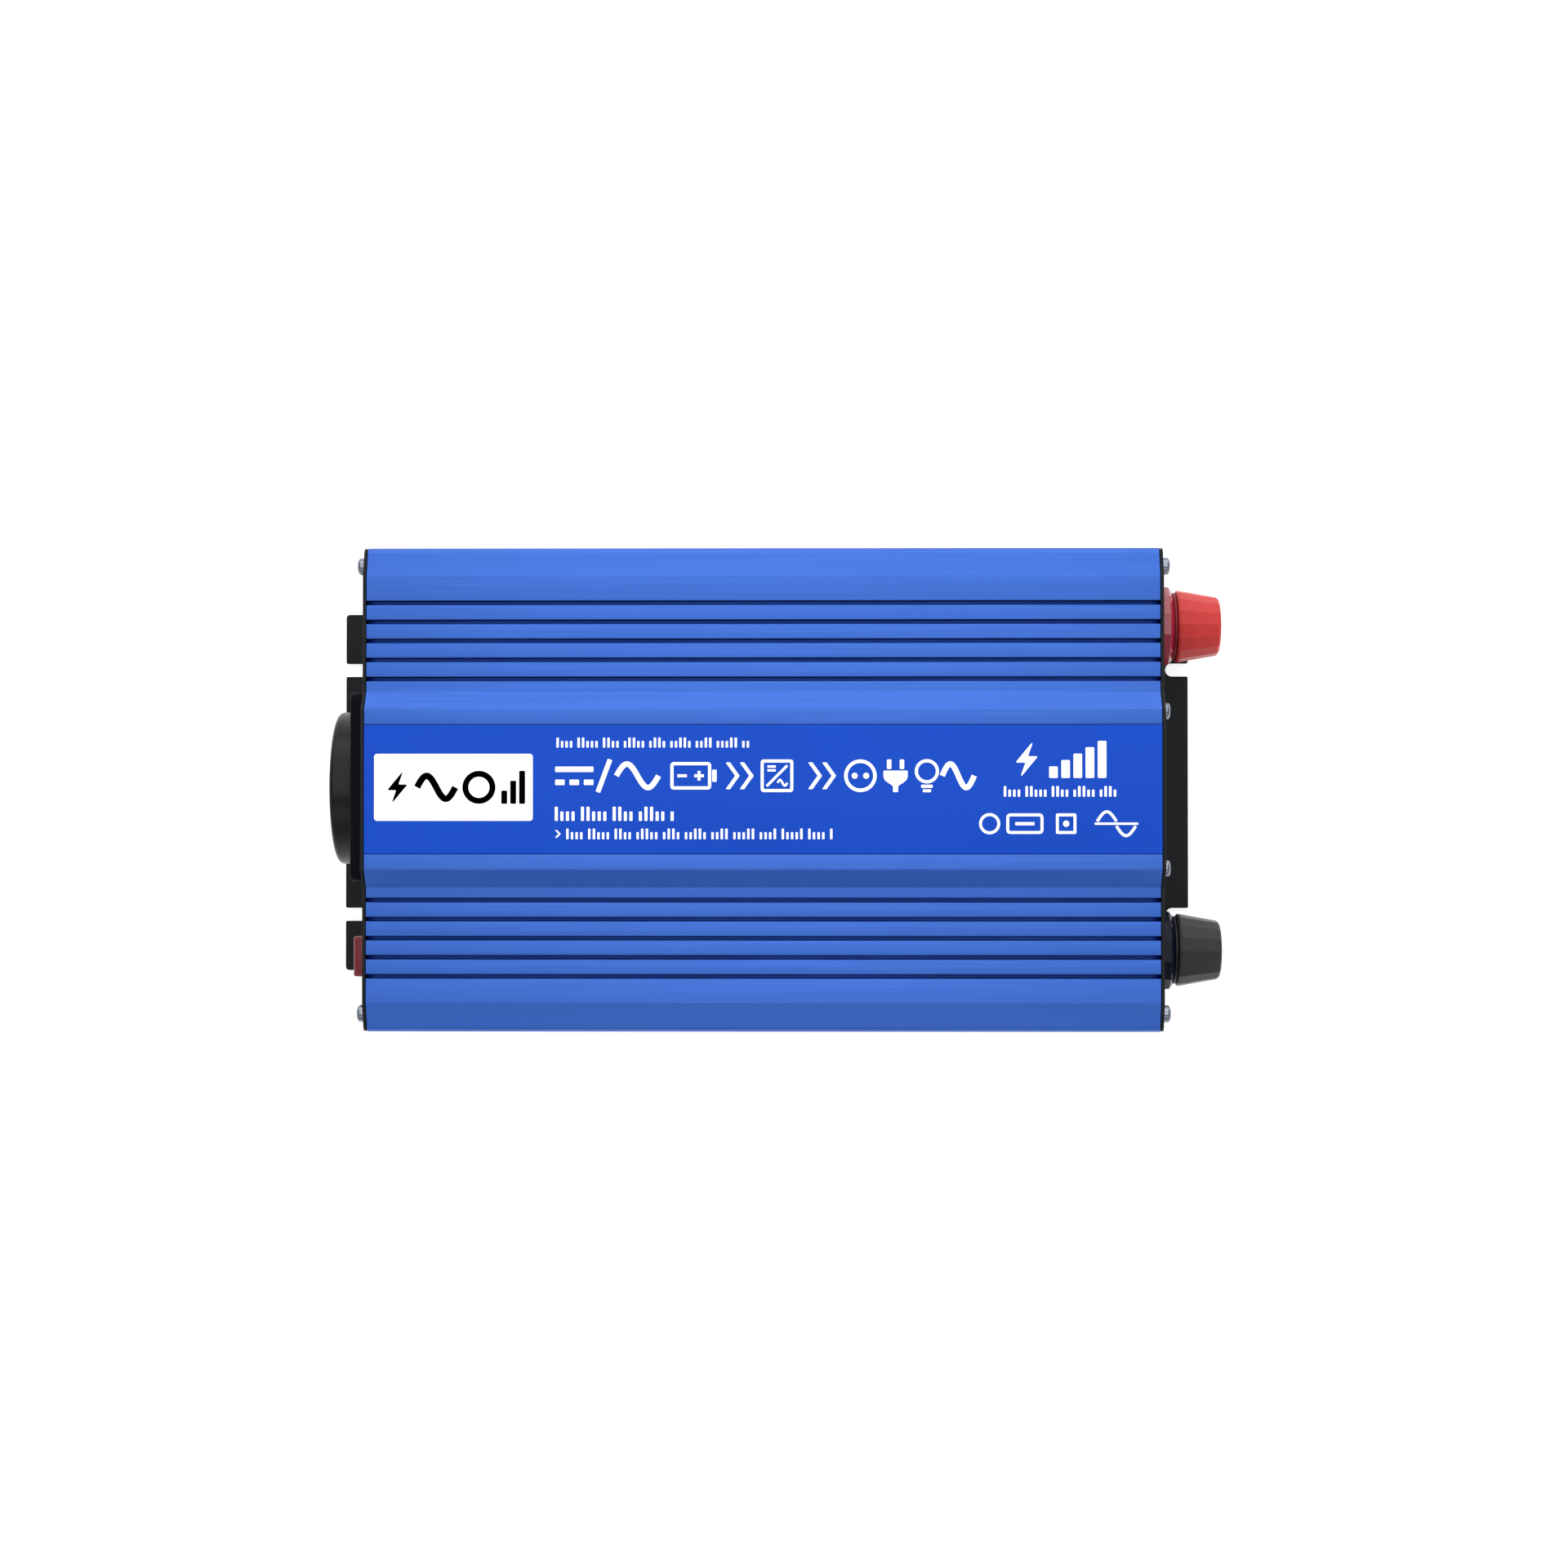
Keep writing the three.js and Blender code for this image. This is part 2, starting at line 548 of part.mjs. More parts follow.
function addRocker() {
  const u = (out) => END_FACE - ROCKER.pivotIn + out;
  const { halfY, halfZ, faceEnd, faceMid, back, pivotIn } = ROCKER;
  const face = pivotIn + faceEnd;
  const half = [
    [0, -back], [0.7 * halfZ, -back * 0.6], [halfZ, 0], [halfZ, face - 0.6], [halfZ - 0.5, face],
    [halfZ * 0.5, face - (faceEnd - faceMid) * 0.62], [0, pivotIn + faceMid],
  ];
  const points = [...half, ...half.slice(1, -1).map(([z, out]) => [-z, out]).reverse()];
  const profile = outline(points.map(([z, out]) => [z, -u(out)]).reverse());
  const paddle = sweep(profile, "Y", -halfY, halfY);
  const pins = rod(SWITCH.pinR, "Y", -SWITCH.bodyY + 0.1, SWITCH.bodyY - 0.1, 16)
    .translate(-u(0), 0, 0);
  const made = join(paddle, pins).translate(u(0), 0, 0);
  made.rotateY(THREE.MathUtils.degToRad(ROCKER.tilt));
  add("switch_rocker", made.translate(-u(0), SWITCH.y, PANEL_Z), CLEAR_RED);
}

// ---------- charging port and lamps ----------
function addUsbPort() {
  const front = -END_FACE - USB.out;
  const back = front + USB.depth;
  const can = block(front, back, -USB.halfY, USB.halfY, -USB.halfZ, USB.halfZ);
  const mouth = block(front - 1, back - USB.wall, -USB.halfY + USB.wall, USB.halfY - USB.wall,
    -USB.halfZ + USB.wall, USB.halfZ - USB.wall);
  add("usb_port_can", cut(can, mouth).translate(0, USB.y, USB.z), BRIGHT_STEEL);
  const { halfY, low, high, length, foot } = USB_TONGUE;
  const seat = back - USB.wall - GAP;
  const footHalf = USB.halfZ - USB.wall - GAP;
  const tongue = join(
    block(seat - length, seat, -halfY, halfY, low, high),
    block(seat - foot, seat, -halfY, halfY, -footHalf, footHalf),
  );
  add("usb_port_tongue", tongue.translate(0, USB.y, USB.z), WHITE_PLASTIC);
}

function addLamps() {
  const inner = -END_X + GAP;
  const tip = -END_FACE - LAMP.out;
  const dome = arcPoints(0, tip + LAMP.r, LAMP.r, LAMP.r, -90, 0, 4);
  const profile = [...dome, [LAMP.r, inner], [LAMP.flangeR, inner], [LAMP.flangeR, inner + 1],
    [LAMP.r, inner + 1], [LAMP.r, inner + LAMP.back], [0, inner + LAMP.back]];
  [["power", LAMP_GREEN], ["fault", LAMP_RED]].forEach(([label, material], i) => {
    add(`${label}_lamp`, revolve(profile, "X", 16).translate(0, LAMP.y[i], LAMP.z), material);
  });
}

// ---------- battery terminals ----------
function addCollar({ label, y, material }) {
  const face = END_FACE + 0.1;
  const inside = face - COLLAR.spigot;
  const profile = [
    [STUD.r + GAP, inside], [COLLAR.spigotR, inside], [COLLAR.spigotR, face], [COLLAR.r, face],
    [COLLAR.r, face + COLLAR.length], [COLLAR.endR, face + COLLAR.total],
    [STUD.r + GAP, face + COLLAR.total], [STUD.r + GAP, inside],
  ];
  const collar = revolve(profile, "X", COLLAR.facets);
  collar.rotateX(Math.PI / COLLAR.facets);
  add(`terminal_collar_${label}`, collar.translate(0, y, TERMINAL.z), material);
}

function addStud({ label, y }) {
  const tip = END_FACE + STUD.out;
  const back = END_FACE - STUD.back;
  const profile = [
    [0, back], [STUD.headR, back], [STUD.headR, back + STUD.head], [STUD.r, back + STUD.head],
    [STUD.r, tip - 0.6], [STUD.r - 0.6, tip], [0, tip],
  ];
  add(`terminal_stud_${label}`, revolve(profile, "X", 20).translate(0, y, TERMINAL.z), BRASS);
}

function addNut({ label, y }) {
  const high = END_FACE + 0.1 - COLLAR.spigot - GAP;
  const nut = cut(
    rod(NUT.across / 2 / Math.cos(Math.PI / 6), "X", high - NUT.t, high, 6),
    rod(STUD.r + GAP, "X", high - NUT.t - 1, high + 1, 20),
  );
  add(`terminal_nut_${label}`, nut.translate(0, y, TERMINAL.z), BRIGHT_STEEL);
}

function addWasher({ label, y, material }) {
  const low = END_FACE + 0.1 + COLLAR.total + 0.2;
  const washer = tubeRing(WASHER.r, WASHER.holeR, "X", low, low + WASHER.t, 24);
  add(`terminal_washer_${label}`, washer.translate(0, y, TERMINAL.z), material);
}

function addCap({ label, y, material }) {
  const low = END_FACE + 0.1 + COLLAR.total + CAP.gap;
  const high = low + CAP.length;
  const profile = [
    [CAP.boreR, low], [CAP.baseR - 0.5, low], [CAP.baseR, low + 0.8],
    [CAP.tipR + 0.35, high - CAP.edge], [CAP.tipR - 0.6, high - 0.35], [CAP.tipR - 2, high],
    [0, high + 0.5], [0, low + CAP.bore], [CAP.boreR, low + CAP.bore], [CAP.boreR, low],
  ];
  const cap = revolve(profile, "X", CAP.facets);
  add(`terminal_cap_${label}`, cap.translate(0, y, TERMINAL.z), material);
}

// ---------- fan ----------
function addFanFrame() {
  const low = FAN_FACE - FAN.t;
  const square = sweep(roundedRect(FAN.half, FAN.half, 3.5), "X", low, FAN_FACE, 4);
  const duct = rod(FAN.boreR, "X", low - 1, FAN_FACE + 1, 40);
  const holes = FAN_CORNERS.map(([y, z]) => rod(M3.bore, "X", low - 1, FAN_FACE + 1, 12).translate(0, y, z));
  const motor = rod(FAN.motorR, "X", low, low + FAN.base, 24);
  const arms = [45, 135].map((angle) => {
    const arm = block(low, low + FAN.base, -FAN.boreR - 1, FAN.boreR + 1, -1.5, 1.5);
    return arm.rotateX(THREE.MathUtils.degToRad(angle));
  });
  const spindle = rod(1.5, "X", low + 2, low + 9, 16);
  const made = join(cut(square, duct, ...holes), motor, ...arms, spindle);
  add("fan_frame", made.translate(0, 0, FAN.z), BLACK_MATT);
}

function addFanRotor() {
  const low = FAN_FACE - FAN.t + 4;
  const high = FAN_FACE - 1.5;
  const hub = cut(rod(FAN.hubR, "X", low, high, 28), rod(1.7, "X", low - 1, low + 6, 16));
  const { halfChord, halfT, pitch, tipGap } = BLADE;
  const blades = Array.from({ length: FAN.blades }, (_, i) => {
    const blade = block(-halfChord, halfChord, -halfT, halfT, FAN.hubR - 1.5, FAN.boreR - 0.2);
    blade.rotateZ(THREE.MathUtils.degToRad(pitch));
    blade.translate((low + high) / 2, 0, 0);
    return blade.rotateX((i * 2 * Math.PI) / FAN.blades);
  });
  const limit = rod(FAN.boreR - tipGap, "X", low, high, 40);
  const made = common(join(hub, ...blades), limit);
  add("fan_rotor", made.translate(0, 0, FAN.z), BLACK_MATT);
}

function addFanScrews() {
  FAN_CORNERS.forEach(([y, z], i) => {
    add(`fan_screw_${i + 1}`, panScrew(1, END_FACE).translate(0, y, FAN.z + z), BRIGHT_STEEL);
  });
}

// ---------- circuit board and power parts ----------
function addBoard() {
  const { halfX, halfY, low } = BOARD;
  add("main_board", block(-halfX, halfX, -halfY, halfY, low, BOARD_TOP), BOARD_GREEN);
}

function addTransformers() {
  const { x, y, half, leg, core, height, wall, lift } = TRANSFORMER;
  const low = BOARD_TOP + lift;
  y.forEach((cy, i) => {
    const outer = block(x - half, x + half, cy - core / 2, cy + core / 2, low, low + height);
    const windows = [-1, 1].map((side) => {
      const [x0, x1] = span(side, leg, half - wall);
      return block(x + x0, x + x1, cy - core, cy + core, low + wall, low + height - wall);
    });
    add(`transformer_core_${i + 1}`, cut(outer, ...windows), FERRITE);
    const coil = cut(
      block(x - half + wall + GAP, x + half - wall - GAP, cy - core, cy + core,
        low + wall + GAP, low + height - wall - GAP),
      block(x - leg - GAP, x + leg + GAP, cy - core / 2 - GAP, cy + core / 2 + GAP,
        low, low + height),
    );
    add(`transformer_winding_${i + 1}`, coil, WINDING_TAPE);
  });
}

function addCapacitors() {
  for (const { name, x, y, r, height } of CAPACITORS) {
    const low = BOARD_TOP + GAP;
    const high = low + height;
    const profile = [
      [0, low], [r, low], [r, low + 2], [r - 0.6, low + 3], [r, low + 4], [r, high - 1],
      [r - 1, high], [0, high],
    ];
    add(name, revolve(profile, "Z", 24).translate(x, y, 0), SLEEVING);
  }
}

function addChoke() {
  const loop = arcPoints(CHOKE.ring, 0, CHOKE.wire, CHOKE.wire, 0, 360, 12);
  loop[loop.length - 1] = loop[0];
  const z = BOARD_TOP + GAP + CHOKE.wire;
  add("output_choke", revolve(loop, "Z", 24).translate(CHOKE.x, CHOKE.y, z), COPPER);
}

function transistor(x, side) {
  const { half, t, low, height, pins, pinHalf } = TRANSISTOR;
  const near = HEAT_BAR.out - HEAT_BAR.thickness - GAP;
  const legs = pins.map((dx) =>
    block(x + dx - pinHalf, x + dx + pinHalf, ...span(side, near - t + 0.4, near - t + 0.9),
      BOARD_TOP + GAP, low + 1),
  );
  return join(block(x - half, x + half, ...span(side, near - t, near), low, low + height), ...legs);
}

function addHeatBars() {
  const { out, thickness, foot, low, high } = HEAT_BAR;
  BARS.forEach(({ name, side, x, half }, bar) => {
    const upright = block(x - half, x + half, ...span(side, out - thickness, out), low, high);
    const ledge = block(x - half, x + half, ...span(side, out - thickness - foot, out), low, low + 3);
    add(name, join(upright, ledge), PLAIN_ALUMINIUM);
    TRANSISTOR.x.forEach((offset, i) => {
      const number = bar * TRANSISTOR.x.length + i + 1;
      add(`transistor_${number}`, transistor(x + offset, side), BLACK_MATT);
    });
  });
}

// ---------- leads held inside the shell ----------
function lead(points, r) {
  const curve = new THREE.CatmullRomCurve3(points.map((p) => new THREE.Vector3(...p)), false, "centripetal");
  const section = new THREE.Shape();
  section.absarc(0, 0, r, 0, 2 * Math.PI);
  return new THREE.ExtrudeGeometry(section, { steps: 10, curveSegments: 7, extrudePath: curve });
}

function addLeads() {
  const studBack = END_FACE - STUD.back - GAP;
  for (const { label, y, material } of TERMINALS) {
    const side = Math.sign(y);
    const points = [
      [studBack, y, TERMINAL.z], [studBack - 6, y, TERMINAL.z],
      [studBack - 14, y - side * 2, 27], [studBack - 18, y - side * 4, BOARD_TOP + 1],
    ];
    add(`battery_lead_${label}`, lead(points, LEAD.batteryR), material);
  }
  const sleeveBack = -END_FACE - SOCKET.out + SOCKET.cavityDepth + SOCKET.floor + GAP + SLEEVE.length + GAP;
  [["line", 1, TERMINAL_RED], ["neutral", -1, TERMINAL_BLACK]].forEach(([label, side, material]) => {
    const y = PANEL_Y + side * SOCKET.pinY;
    const points = [
      [sleeveBack, y, PANEL_Z], [sleeveBack + 4, y, PANEL_Z],
      [sleeveBack + 9, y + side * 2, 28], [sleeveBack + 11, y + side * 4, BOARD_TOP + 1],
    ];
    add(`socket_lead_${label}`, lead(points, LEAD.socketR), material);
  });
}

addHousing();
addLabel();
addBasePlate();
addAcEndPlate();
addDcEndPlate();
addEndScrews(-1, "ac");
addEndScrews(1, "dc");
addSocketBody();
addEarthClip();
addContactSleeves();
addSwitchBody();
addRocker();
addUsbPort();
addLamps();
for (const terminal of TERMINALS) {
  addCollar(terminal);
  addStud(terminal);
  addNut(terminal);
  addWasher(terminal);
  addCap(terminal);
}
addFanFrame();
addFanRotor();
addFanScrews();
addBoard();
addTransformers();
addCapacitors();
addChoke();
addHeatBars();
addLeads();

export default root;
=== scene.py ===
import json
from math import asin, cos, degrees, pi, radians, sin, sqrt, tan

import bmesh
import bpy
from mathutils import Matrix, Vector


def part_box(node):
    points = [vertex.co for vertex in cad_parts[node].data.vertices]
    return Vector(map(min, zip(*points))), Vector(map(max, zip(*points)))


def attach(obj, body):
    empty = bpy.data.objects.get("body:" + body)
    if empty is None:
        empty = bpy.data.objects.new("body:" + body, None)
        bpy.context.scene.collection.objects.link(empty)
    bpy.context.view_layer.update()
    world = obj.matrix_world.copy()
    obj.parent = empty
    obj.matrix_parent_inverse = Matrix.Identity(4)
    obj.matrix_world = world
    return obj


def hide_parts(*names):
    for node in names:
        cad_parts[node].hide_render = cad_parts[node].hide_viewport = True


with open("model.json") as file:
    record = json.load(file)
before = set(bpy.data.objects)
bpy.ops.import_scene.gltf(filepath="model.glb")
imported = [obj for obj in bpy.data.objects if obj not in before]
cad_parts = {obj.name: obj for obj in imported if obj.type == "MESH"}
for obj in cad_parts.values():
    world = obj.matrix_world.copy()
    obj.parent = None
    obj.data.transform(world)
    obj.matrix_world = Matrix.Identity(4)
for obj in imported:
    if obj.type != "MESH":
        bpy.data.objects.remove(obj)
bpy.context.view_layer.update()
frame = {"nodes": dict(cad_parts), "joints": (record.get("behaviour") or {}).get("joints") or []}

# ---------- driving dimensions, in millimetres, as the pieces are drawn ----------
MM = 0.001

# Case section, with Y across and Z up
PLATEAU_HALF = 25.2
SLOPE_FOOT = 30.8
DECK_Z = 70.5
GROOVE_FIRST = 34.8
GROOVE_PITCH = 6.0
GROOVE_COUNT = 5
GROOVE_WIDTH = 1.35
GROOVE_DEPTH = 2.8
SHOULDER_START = 67.2
EDGE_Y = 74.0
EDGE_TOP = 68.0
EDGE_FOOT = 65.2
SIDE_FIRST = 18.0
SIDE_PITCH = 8.0
SIDE_COUNT = 5
SIDE_WIDTH = 1.6
SIDE_DEPTH = 1.3
WALL_INNER = 73.4
DECK_INNER = 66.3
PLATEAU_INNER = (23.6, 71.5)
FOOT_RIB = (2.3, 3.9)
FOOT_RIB_TIP = 70.2
BOARD_GUIDES = ((11.6, 12.9), (15.1, 16.3))
GUIDE_TIP = 71.4
LABEL_RECESS = 0.5

# Screw channels: y, z, outer radius, bore radius
BOSS = (71.0, 61.6, 3.2, 1.8)
RAIL = (66.2, 7.0, 3.1, 1.8)

# Base plate and end plates
PLATE_T = 2.0
TONGUE_HALF = 60.0
SLOT_Y = 41.2
SLOT_WIDTH = 4.4
SLOT_DEPTH = 7.6
PLATE_INSET = 0.15
PANEL_Y = 0.9
PANEL_Z = 37.0
TONGUE_RELIEF = 60.4
SOCKET_HOLE = 21.7
SWITCH_HOLE = (7.9, 11.8)
USB_HOLE = (6.9, 3.2)
LAMP_HOLE = 2.65
INTAKE_Y = 47.5
INTAKE_Z = 13.5
INTAKE_PITCH = 4.5
INTAKE_COUNT = 7
INTAKE_HALF = (1.2, 6.0)
GRILLE_RINGS = ((6, 10.5), (13, 17.5), (20, 24.5))
GRILLE_BAR = 3.0
COLLAR_HOLE = 6.3

# Screws
SCREW_HEAD = 2.75
SCREW_HEIGHT = 2.7
SCREW_LENGTH = 10.0
THREAD_R = 1.5
THREAD_ROOT = 1.25
THREAD_PITCH = 0.5
HOLE_R = 1.8

# Fan
FAN_HALF = 30.0
FAN_DUCT = 28.5
FAN_HOLE = 25.0
MOTOR_R = 13.0
SPINDLE_R = 1.5
HUB_R = 12.0
BLADES = 7
BLADE_ROOT = 11.4
BLADE_TIP = 27.6

# Mains socket
FLANGE_HALF = 30.0
FLANGE_T = 4.5
RIM_R = 24.7
WELL_R = 19.6
WELL_DEPTH = 17.5
BODY_R = 21.3
CLIP_WAY = 4.2
CLIP_R = 19.8
PIN_Y = 9.5
PIN_HOLE = 2.75
CONTACT_ROOM = 3.9

# Rocker switch
BEZEL_HALF = (8.9, 12.6)
SWITCH_HALF = (7.6, 11.5)
SWITCH_OPENING = (6.8, 10.5)
TUBE_DEPTH = 7.9
REAR_DEPTH = 14.9
REST_TILT = -10.0

# Terminals
CAP_FACETS = 16
CAP_BASE_R = 11.75
CAP_TIP_R = 9.45
CAP_ROUNDING = 1.5
COLLAR_FACETS = 12
COLLAR_R = 13.0
STUD_R = 3.0
STUD_PITCH = 1.0


def box(node):
    """A CAD node's lowest and highest corner in millimetres."""
    low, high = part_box(node)
    return low / MM, high / MM


def middle(node):
    """The y and z of a CAD node's middle."""
    low, high = box(node)
    return (low.y + high.y) / 2, (low.z + high.z) / 2


# ---------- making meshes ----------
SWEEP = {
    "X": Matrix(((0, 0, 1, 0), (1, 0, 0, 0), (0, 1, 0, 0), (0, 0, 0, 1))),
    "Y": Matrix(((0, 1, 0, 0), (0, 0, 1, 0), (1, 0, 0, 0), (0, 0, 0, 1))),
    "Z": Matrix.Identity(4),
}


def link(obj):
    bpy.context.scene.collection.objects.link(obj)
    return obj


def evaluated_mesh(obj):
    """The object's mesh with its modifiers applied."""
    graph = bpy.context.evaluated_depsgraph_get()
    graph.update()
    return bpy.data.meshes.new_from_object(obj.evaluated_get(graph))


def bake(obj):
    """Applies every modifier to the object's own mesh."""
    mesh = evaluated_mesh(obj)
    obj.modifiers.clear()
    obj.data = mesh


def tidy(mesh, merge=1e-4):
    """Welds vertices and turns every face outwards."""
    bm = bmesh.new()
    bm.from_mesh(mesh)
    bmesh.ops.remove_doubles(bm, verts=bm.verts, dist=merge)
    bmesh.ops.dissolve_degenerate(bm, edges=bm.edges, dist=merge / 2)
    bmesh.ops.recalc_face_normals(bm, faces=bm.faces)
    bm.to_mesh(mesh)
    bm.free()


def sweep(name, loops, axis, low, high, edge=0.0, steps=2):
    """Closed outlines, the outside first and then the holes, swept along an axis with rounded edges."""
    curve = bpy.data.curves.new(name, "CURVE")
    curve.dimensions = "2D"
    curve.fill_mode = "BOTH"
    curve.extrude = (high - low) / 2 - edge
    curve.bevel_depth = edge
    curve.bevel_resolution = steps
    curve.offset = -edge
    for points in loops:
        spline = curve.splines.new("POLY")
        spline.points.add(len(points) - 1)
        for knot, (u, v) in zip(spline.points, points):
            knot.co = (u, v, 0, 1)
        spline.use_cyclic_u = True
    holder = link(bpy.data.objects.new(name + "_curve", curve))
    mesh = evaluated_mesh(holder)
    bpy.data.objects.remove(holder)
    bpy.data.curves.remove(curve)
    mesh.transform(SWEEP[axis] @ Matrix.Translation((0, 0, (low + high) / 2)))
    tidy(mesh)
    return link(bpy.data.objects.new(name, mesh))


def grid(name, rows):
    """A skin over rows of points, each row a closed ring; its ends are filled unless they meet."""
    bm = bmesh.new()
    rings = [[bm.verts.new(p) for p in row] for row in rows]
    count = len(rings[0])
    for a, b in zip(rings, rings[1:]):
        for i in range(count):
            j = (i + 1) % count
            bm.faces.new((a[i], a[j], b[j], b[i]))
    if rows[0] != rows[-1]:
        bm.faces.new(list(reversed(rings[0])))
        bm.faces.new(rings[-1])
    mesh = bpy.data.meshes.new(name)
    bm.to_mesh(mesh)
    bm.free()
    tidy(mesh)
    return link(bpy.data.objects.new(name, mesh))


def ring(radius, along, centre, axis, segments):
    """Points round a circle; radius may be a number or a function of the angle."""
    points = []
    for i in range(segments):
        angle = 2 * pi * i / segments
        r = radius(angle) if callable(radius) else radius
        local = Vector((r * cos(angle), r * sin(angle), along))
        points.append(SWEEP[axis] @ local + Vector(centre))
    return points


def revolve(name, profile, axis, centre=(0, 0, 0), segments=48):
    """A solid of revolution; the profile is (radius, place along the axis), from axis to axis or closed."""
    tiny = 1e-5
    return grid(name, [ring(max(r, tiny), along, centre, axis, segments) for r, along in profile])


def block(name, low, high, edge=0.0):
    """A box between two corners."""
    outline = [(low[0], low[1]), (high[0], low[1]), (high[0], high[1]), (low[0], high[1])]
    return sweep(name, [outline], "Z", low[2], high[2], edge)


def combine(obj, others, operation):
    """Joins ('UNION') or cuts ('DIFFERENCE') the other objects, which are used up."""
    for other in others:
        step = obj.modifiers.new("join", "BOOLEAN")
        step.operation = operation
        step.solver = "EXACT"
        step.object = other
        bake(obj)
        bpy.data.objects.remove(other)
    return obj


def merge(name, objects):
    """Puts several closed shells in one object."""
    bm = bmesh.new()
    for obj in objects:
        obj.data.transform(obj.matrix_world)
        bm.from_mesh(obj.data)
        bpy.data.objects.remove(obj)
    mesh = bpy.data.meshes.new(name)
    bm.to_mesh(mesh)
    bm.free()
    return link(bpy.data.objects.new(name, mesh))


def arc(cu, cv, r, start, end, steps, rise=None):
    """Points along an arc, with its angles in degrees; an ellipse's has another radius for its rise."""
    return [
        (cu + r * cos(radians(t)), cv + (rise or r) * sin(radians(t)))
        for t in (start + (end - start) * i / steps for i in range(steps + 1))
    ]


def circle(cu, cv, r, steps=24):
    return arc(cu, cv, r, 0, 360 * (steps - 1) / steps, steps - 1)


def rounded(points, radius, steps=3):
    """A closed outline with each corner rounded; a point may carry its own radius as a third number."""
    result = []
    for i, point in enumerate(points):
        here = Vector(point[:2])
        before = Vector(points[i - 1][:2]) - here
        after = Vector(points[(i + 1) % len(points)][:2]) - here
        r = point[2] if len(point) > 2 else radius
        turn = before.angle(after)
        if r <= 0 or turn > radians(172):
            result.append(tuple(here))
            continue
        reach = min(r / tan(turn / 2), 0.45 * before.length, 0.45 * after.length)
        a = here + before.normalized() * reach
        b = here + after.normalized() * reach
        for k in range(steps + 1):
            t = k / steps
            p = a * (1 - t) ** 2 + here * (2 * t * (1 - t)) + b * t**2
            result.append(tuple(p))
    return result


def rectangle(cu, cv, half_u, half_v, radius=0.0, steps=4):
    signs = ((-1, -1), (1, -1), (1, 1), (-1, 1))
    corners = [(cu + a * half_u, cv + b * half_v) for a, b in signs]
    return rounded(corners, radius, steps) if radius else corners


def unrounded(points):
    """Points marked so that `rounded` leaves them as they are."""
    return [(*point, 0) for point in points]


def flipped(points):
    """The points mirrored in their first coordinate and run through backwards."""
    return [(-p[0], *p[1:]) for p in reversed(points)]


def smooth(obj, angle=35):
    mesh = obj.data
    mesh.shade_smooth()
    mesh.set_sharp_from_angle(angle=radians(angle))


def place(obj, body, material, slot, *nodes, angle=35):
    """Turns a piece drawn in millimetres into a finished one that rides on its body."""
    obj.data.transform(Matrix.Scale(MM, 4))
    smooth(obj, angle)
    dress(obj, material)
    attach(obj, body)
    if nodes:
        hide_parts(*nodes)


# ---------- materials ----------
def add_node(tree, kind, **values):
    """Adds a shader node; each named input gets a number, or a link from the socket given for it."""
    node = tree.nodes.new("ShaderNode" + kind)
    fill(tree, node, values)
    return node


def fill(tree, node, values):
    for name, value in values.items():
        socket = node.inputs[name.replace("_", " ")]
        if isinstance(value, bpy.types.NodeSocket):
            tree.links.new(value, socket)
        else:
            socket.default_value = value


def shader(name, color, roughness, metallic=0.0, **sockets):
    material = bpy.data.materials.new(name)
    material.use_nodes = True
    tree = material.node_tree
    principled = tree.nodes["Principled BSDF"]
    fill(tree, principled, {"Base Color": (*color, 1), "Roughness": roughness, "Metallic": metallic})
    fill(tree, principled, sockets)
    return material, tree, principled


def noise(tree, scale, stretch=(1, 1, 1), detail=4.0):
    """Noise in the object's own metres; scale is in features per metre."""
    spot = add_node(tree, "TexCoord").outputs["Object"]
    mapping = add_node(tree, "Mapping", Vector=spot, Scale=[scale * s for s in stretch])
    texture = add_node(tree, "TexNoise", Vector=mapping.outputs["Vector"], Scale=1.0,
                       Detail=detail, Roughness=0.6)
    return texture.outputs["Fac"]


def remap(tree, source, low, high, from_low=0.3, from_high=0.7):
    node = add_node(tree, "MapRange", Value=source, From_Min=from_low, From_Max=from_high,
                    To_Min=low, To_Max=high)
    return node.outputs["Result"]


def blend_colors(tree, factor, first, second):
    """Blends two colours, each a tuple or a socket."""
    node = tree.nodes.new("ShaderNodeMix")
    node.data_type = "RGBA"
    colors = [socket for socket in node.inputs if socket.type == "RGBA"]
    for socket, value in zip(colors, (first, second)):
        if isinstance(value, tuple):
            socket.default_value = (*value, 1)
        else:
            tree.links.new(value, socket)
    tree.links.new(factor, node.inputs[0])
    return next(socket for socket in node.outputs if socket.type == "RGBA")


def bump(tree, height, distance):
    return add_node(tree, "Bump", Height=height, Distance=distance).outputs["Normal"]


def shade(color, factor):
    return tuple(min(1.0, c * factor) for c in color)


def textured(name, color, roughness, metallic=0.0, vary=0.12, grain=900, stretch=(1, 1, 1),
             rough_vary=0.06, relief=0.00002, patch=40, gloss=0.5, **sockets):
    """A surface with a fine grain, slow patches of tone, and matching gloss and relief."""
    material, tree, principled = shader(name, color, roughness, metallic,
                                        Specular_IOR_Level=gloss, **sockets)
    fine = noise(tree, grain, stretch)
    slow = noise(tree, patch, detail=2.0)
    tone = blend_colors(tree, remap(tree, slow, 0, 1), shade(color, 1 - vary), shade(color, 1 + vary))
    grainy = blend_colors(tree, remap(tree, fine, 0, 0.5), tone, shade(color, 1 - 1.5 * vary))
    rough = remap(tree, fine, roughness - rough_vary, roughness + rough_vary)
    fill(tree, principled, {"Base Color": grainy, "Roughness": rough, "Normal": bump(tree, fine, relief)})
    return material


def linear(*srgb):
    """A colour given as it looks on screen, 0 to 255, as the shader's linear numbers."""
    return tuple(
        c / 12.92 if c <= 0.04045 else ((c + 0.055) / 1.055) ** 2.4
        for c in (v / 255 for v in srgb)
    )


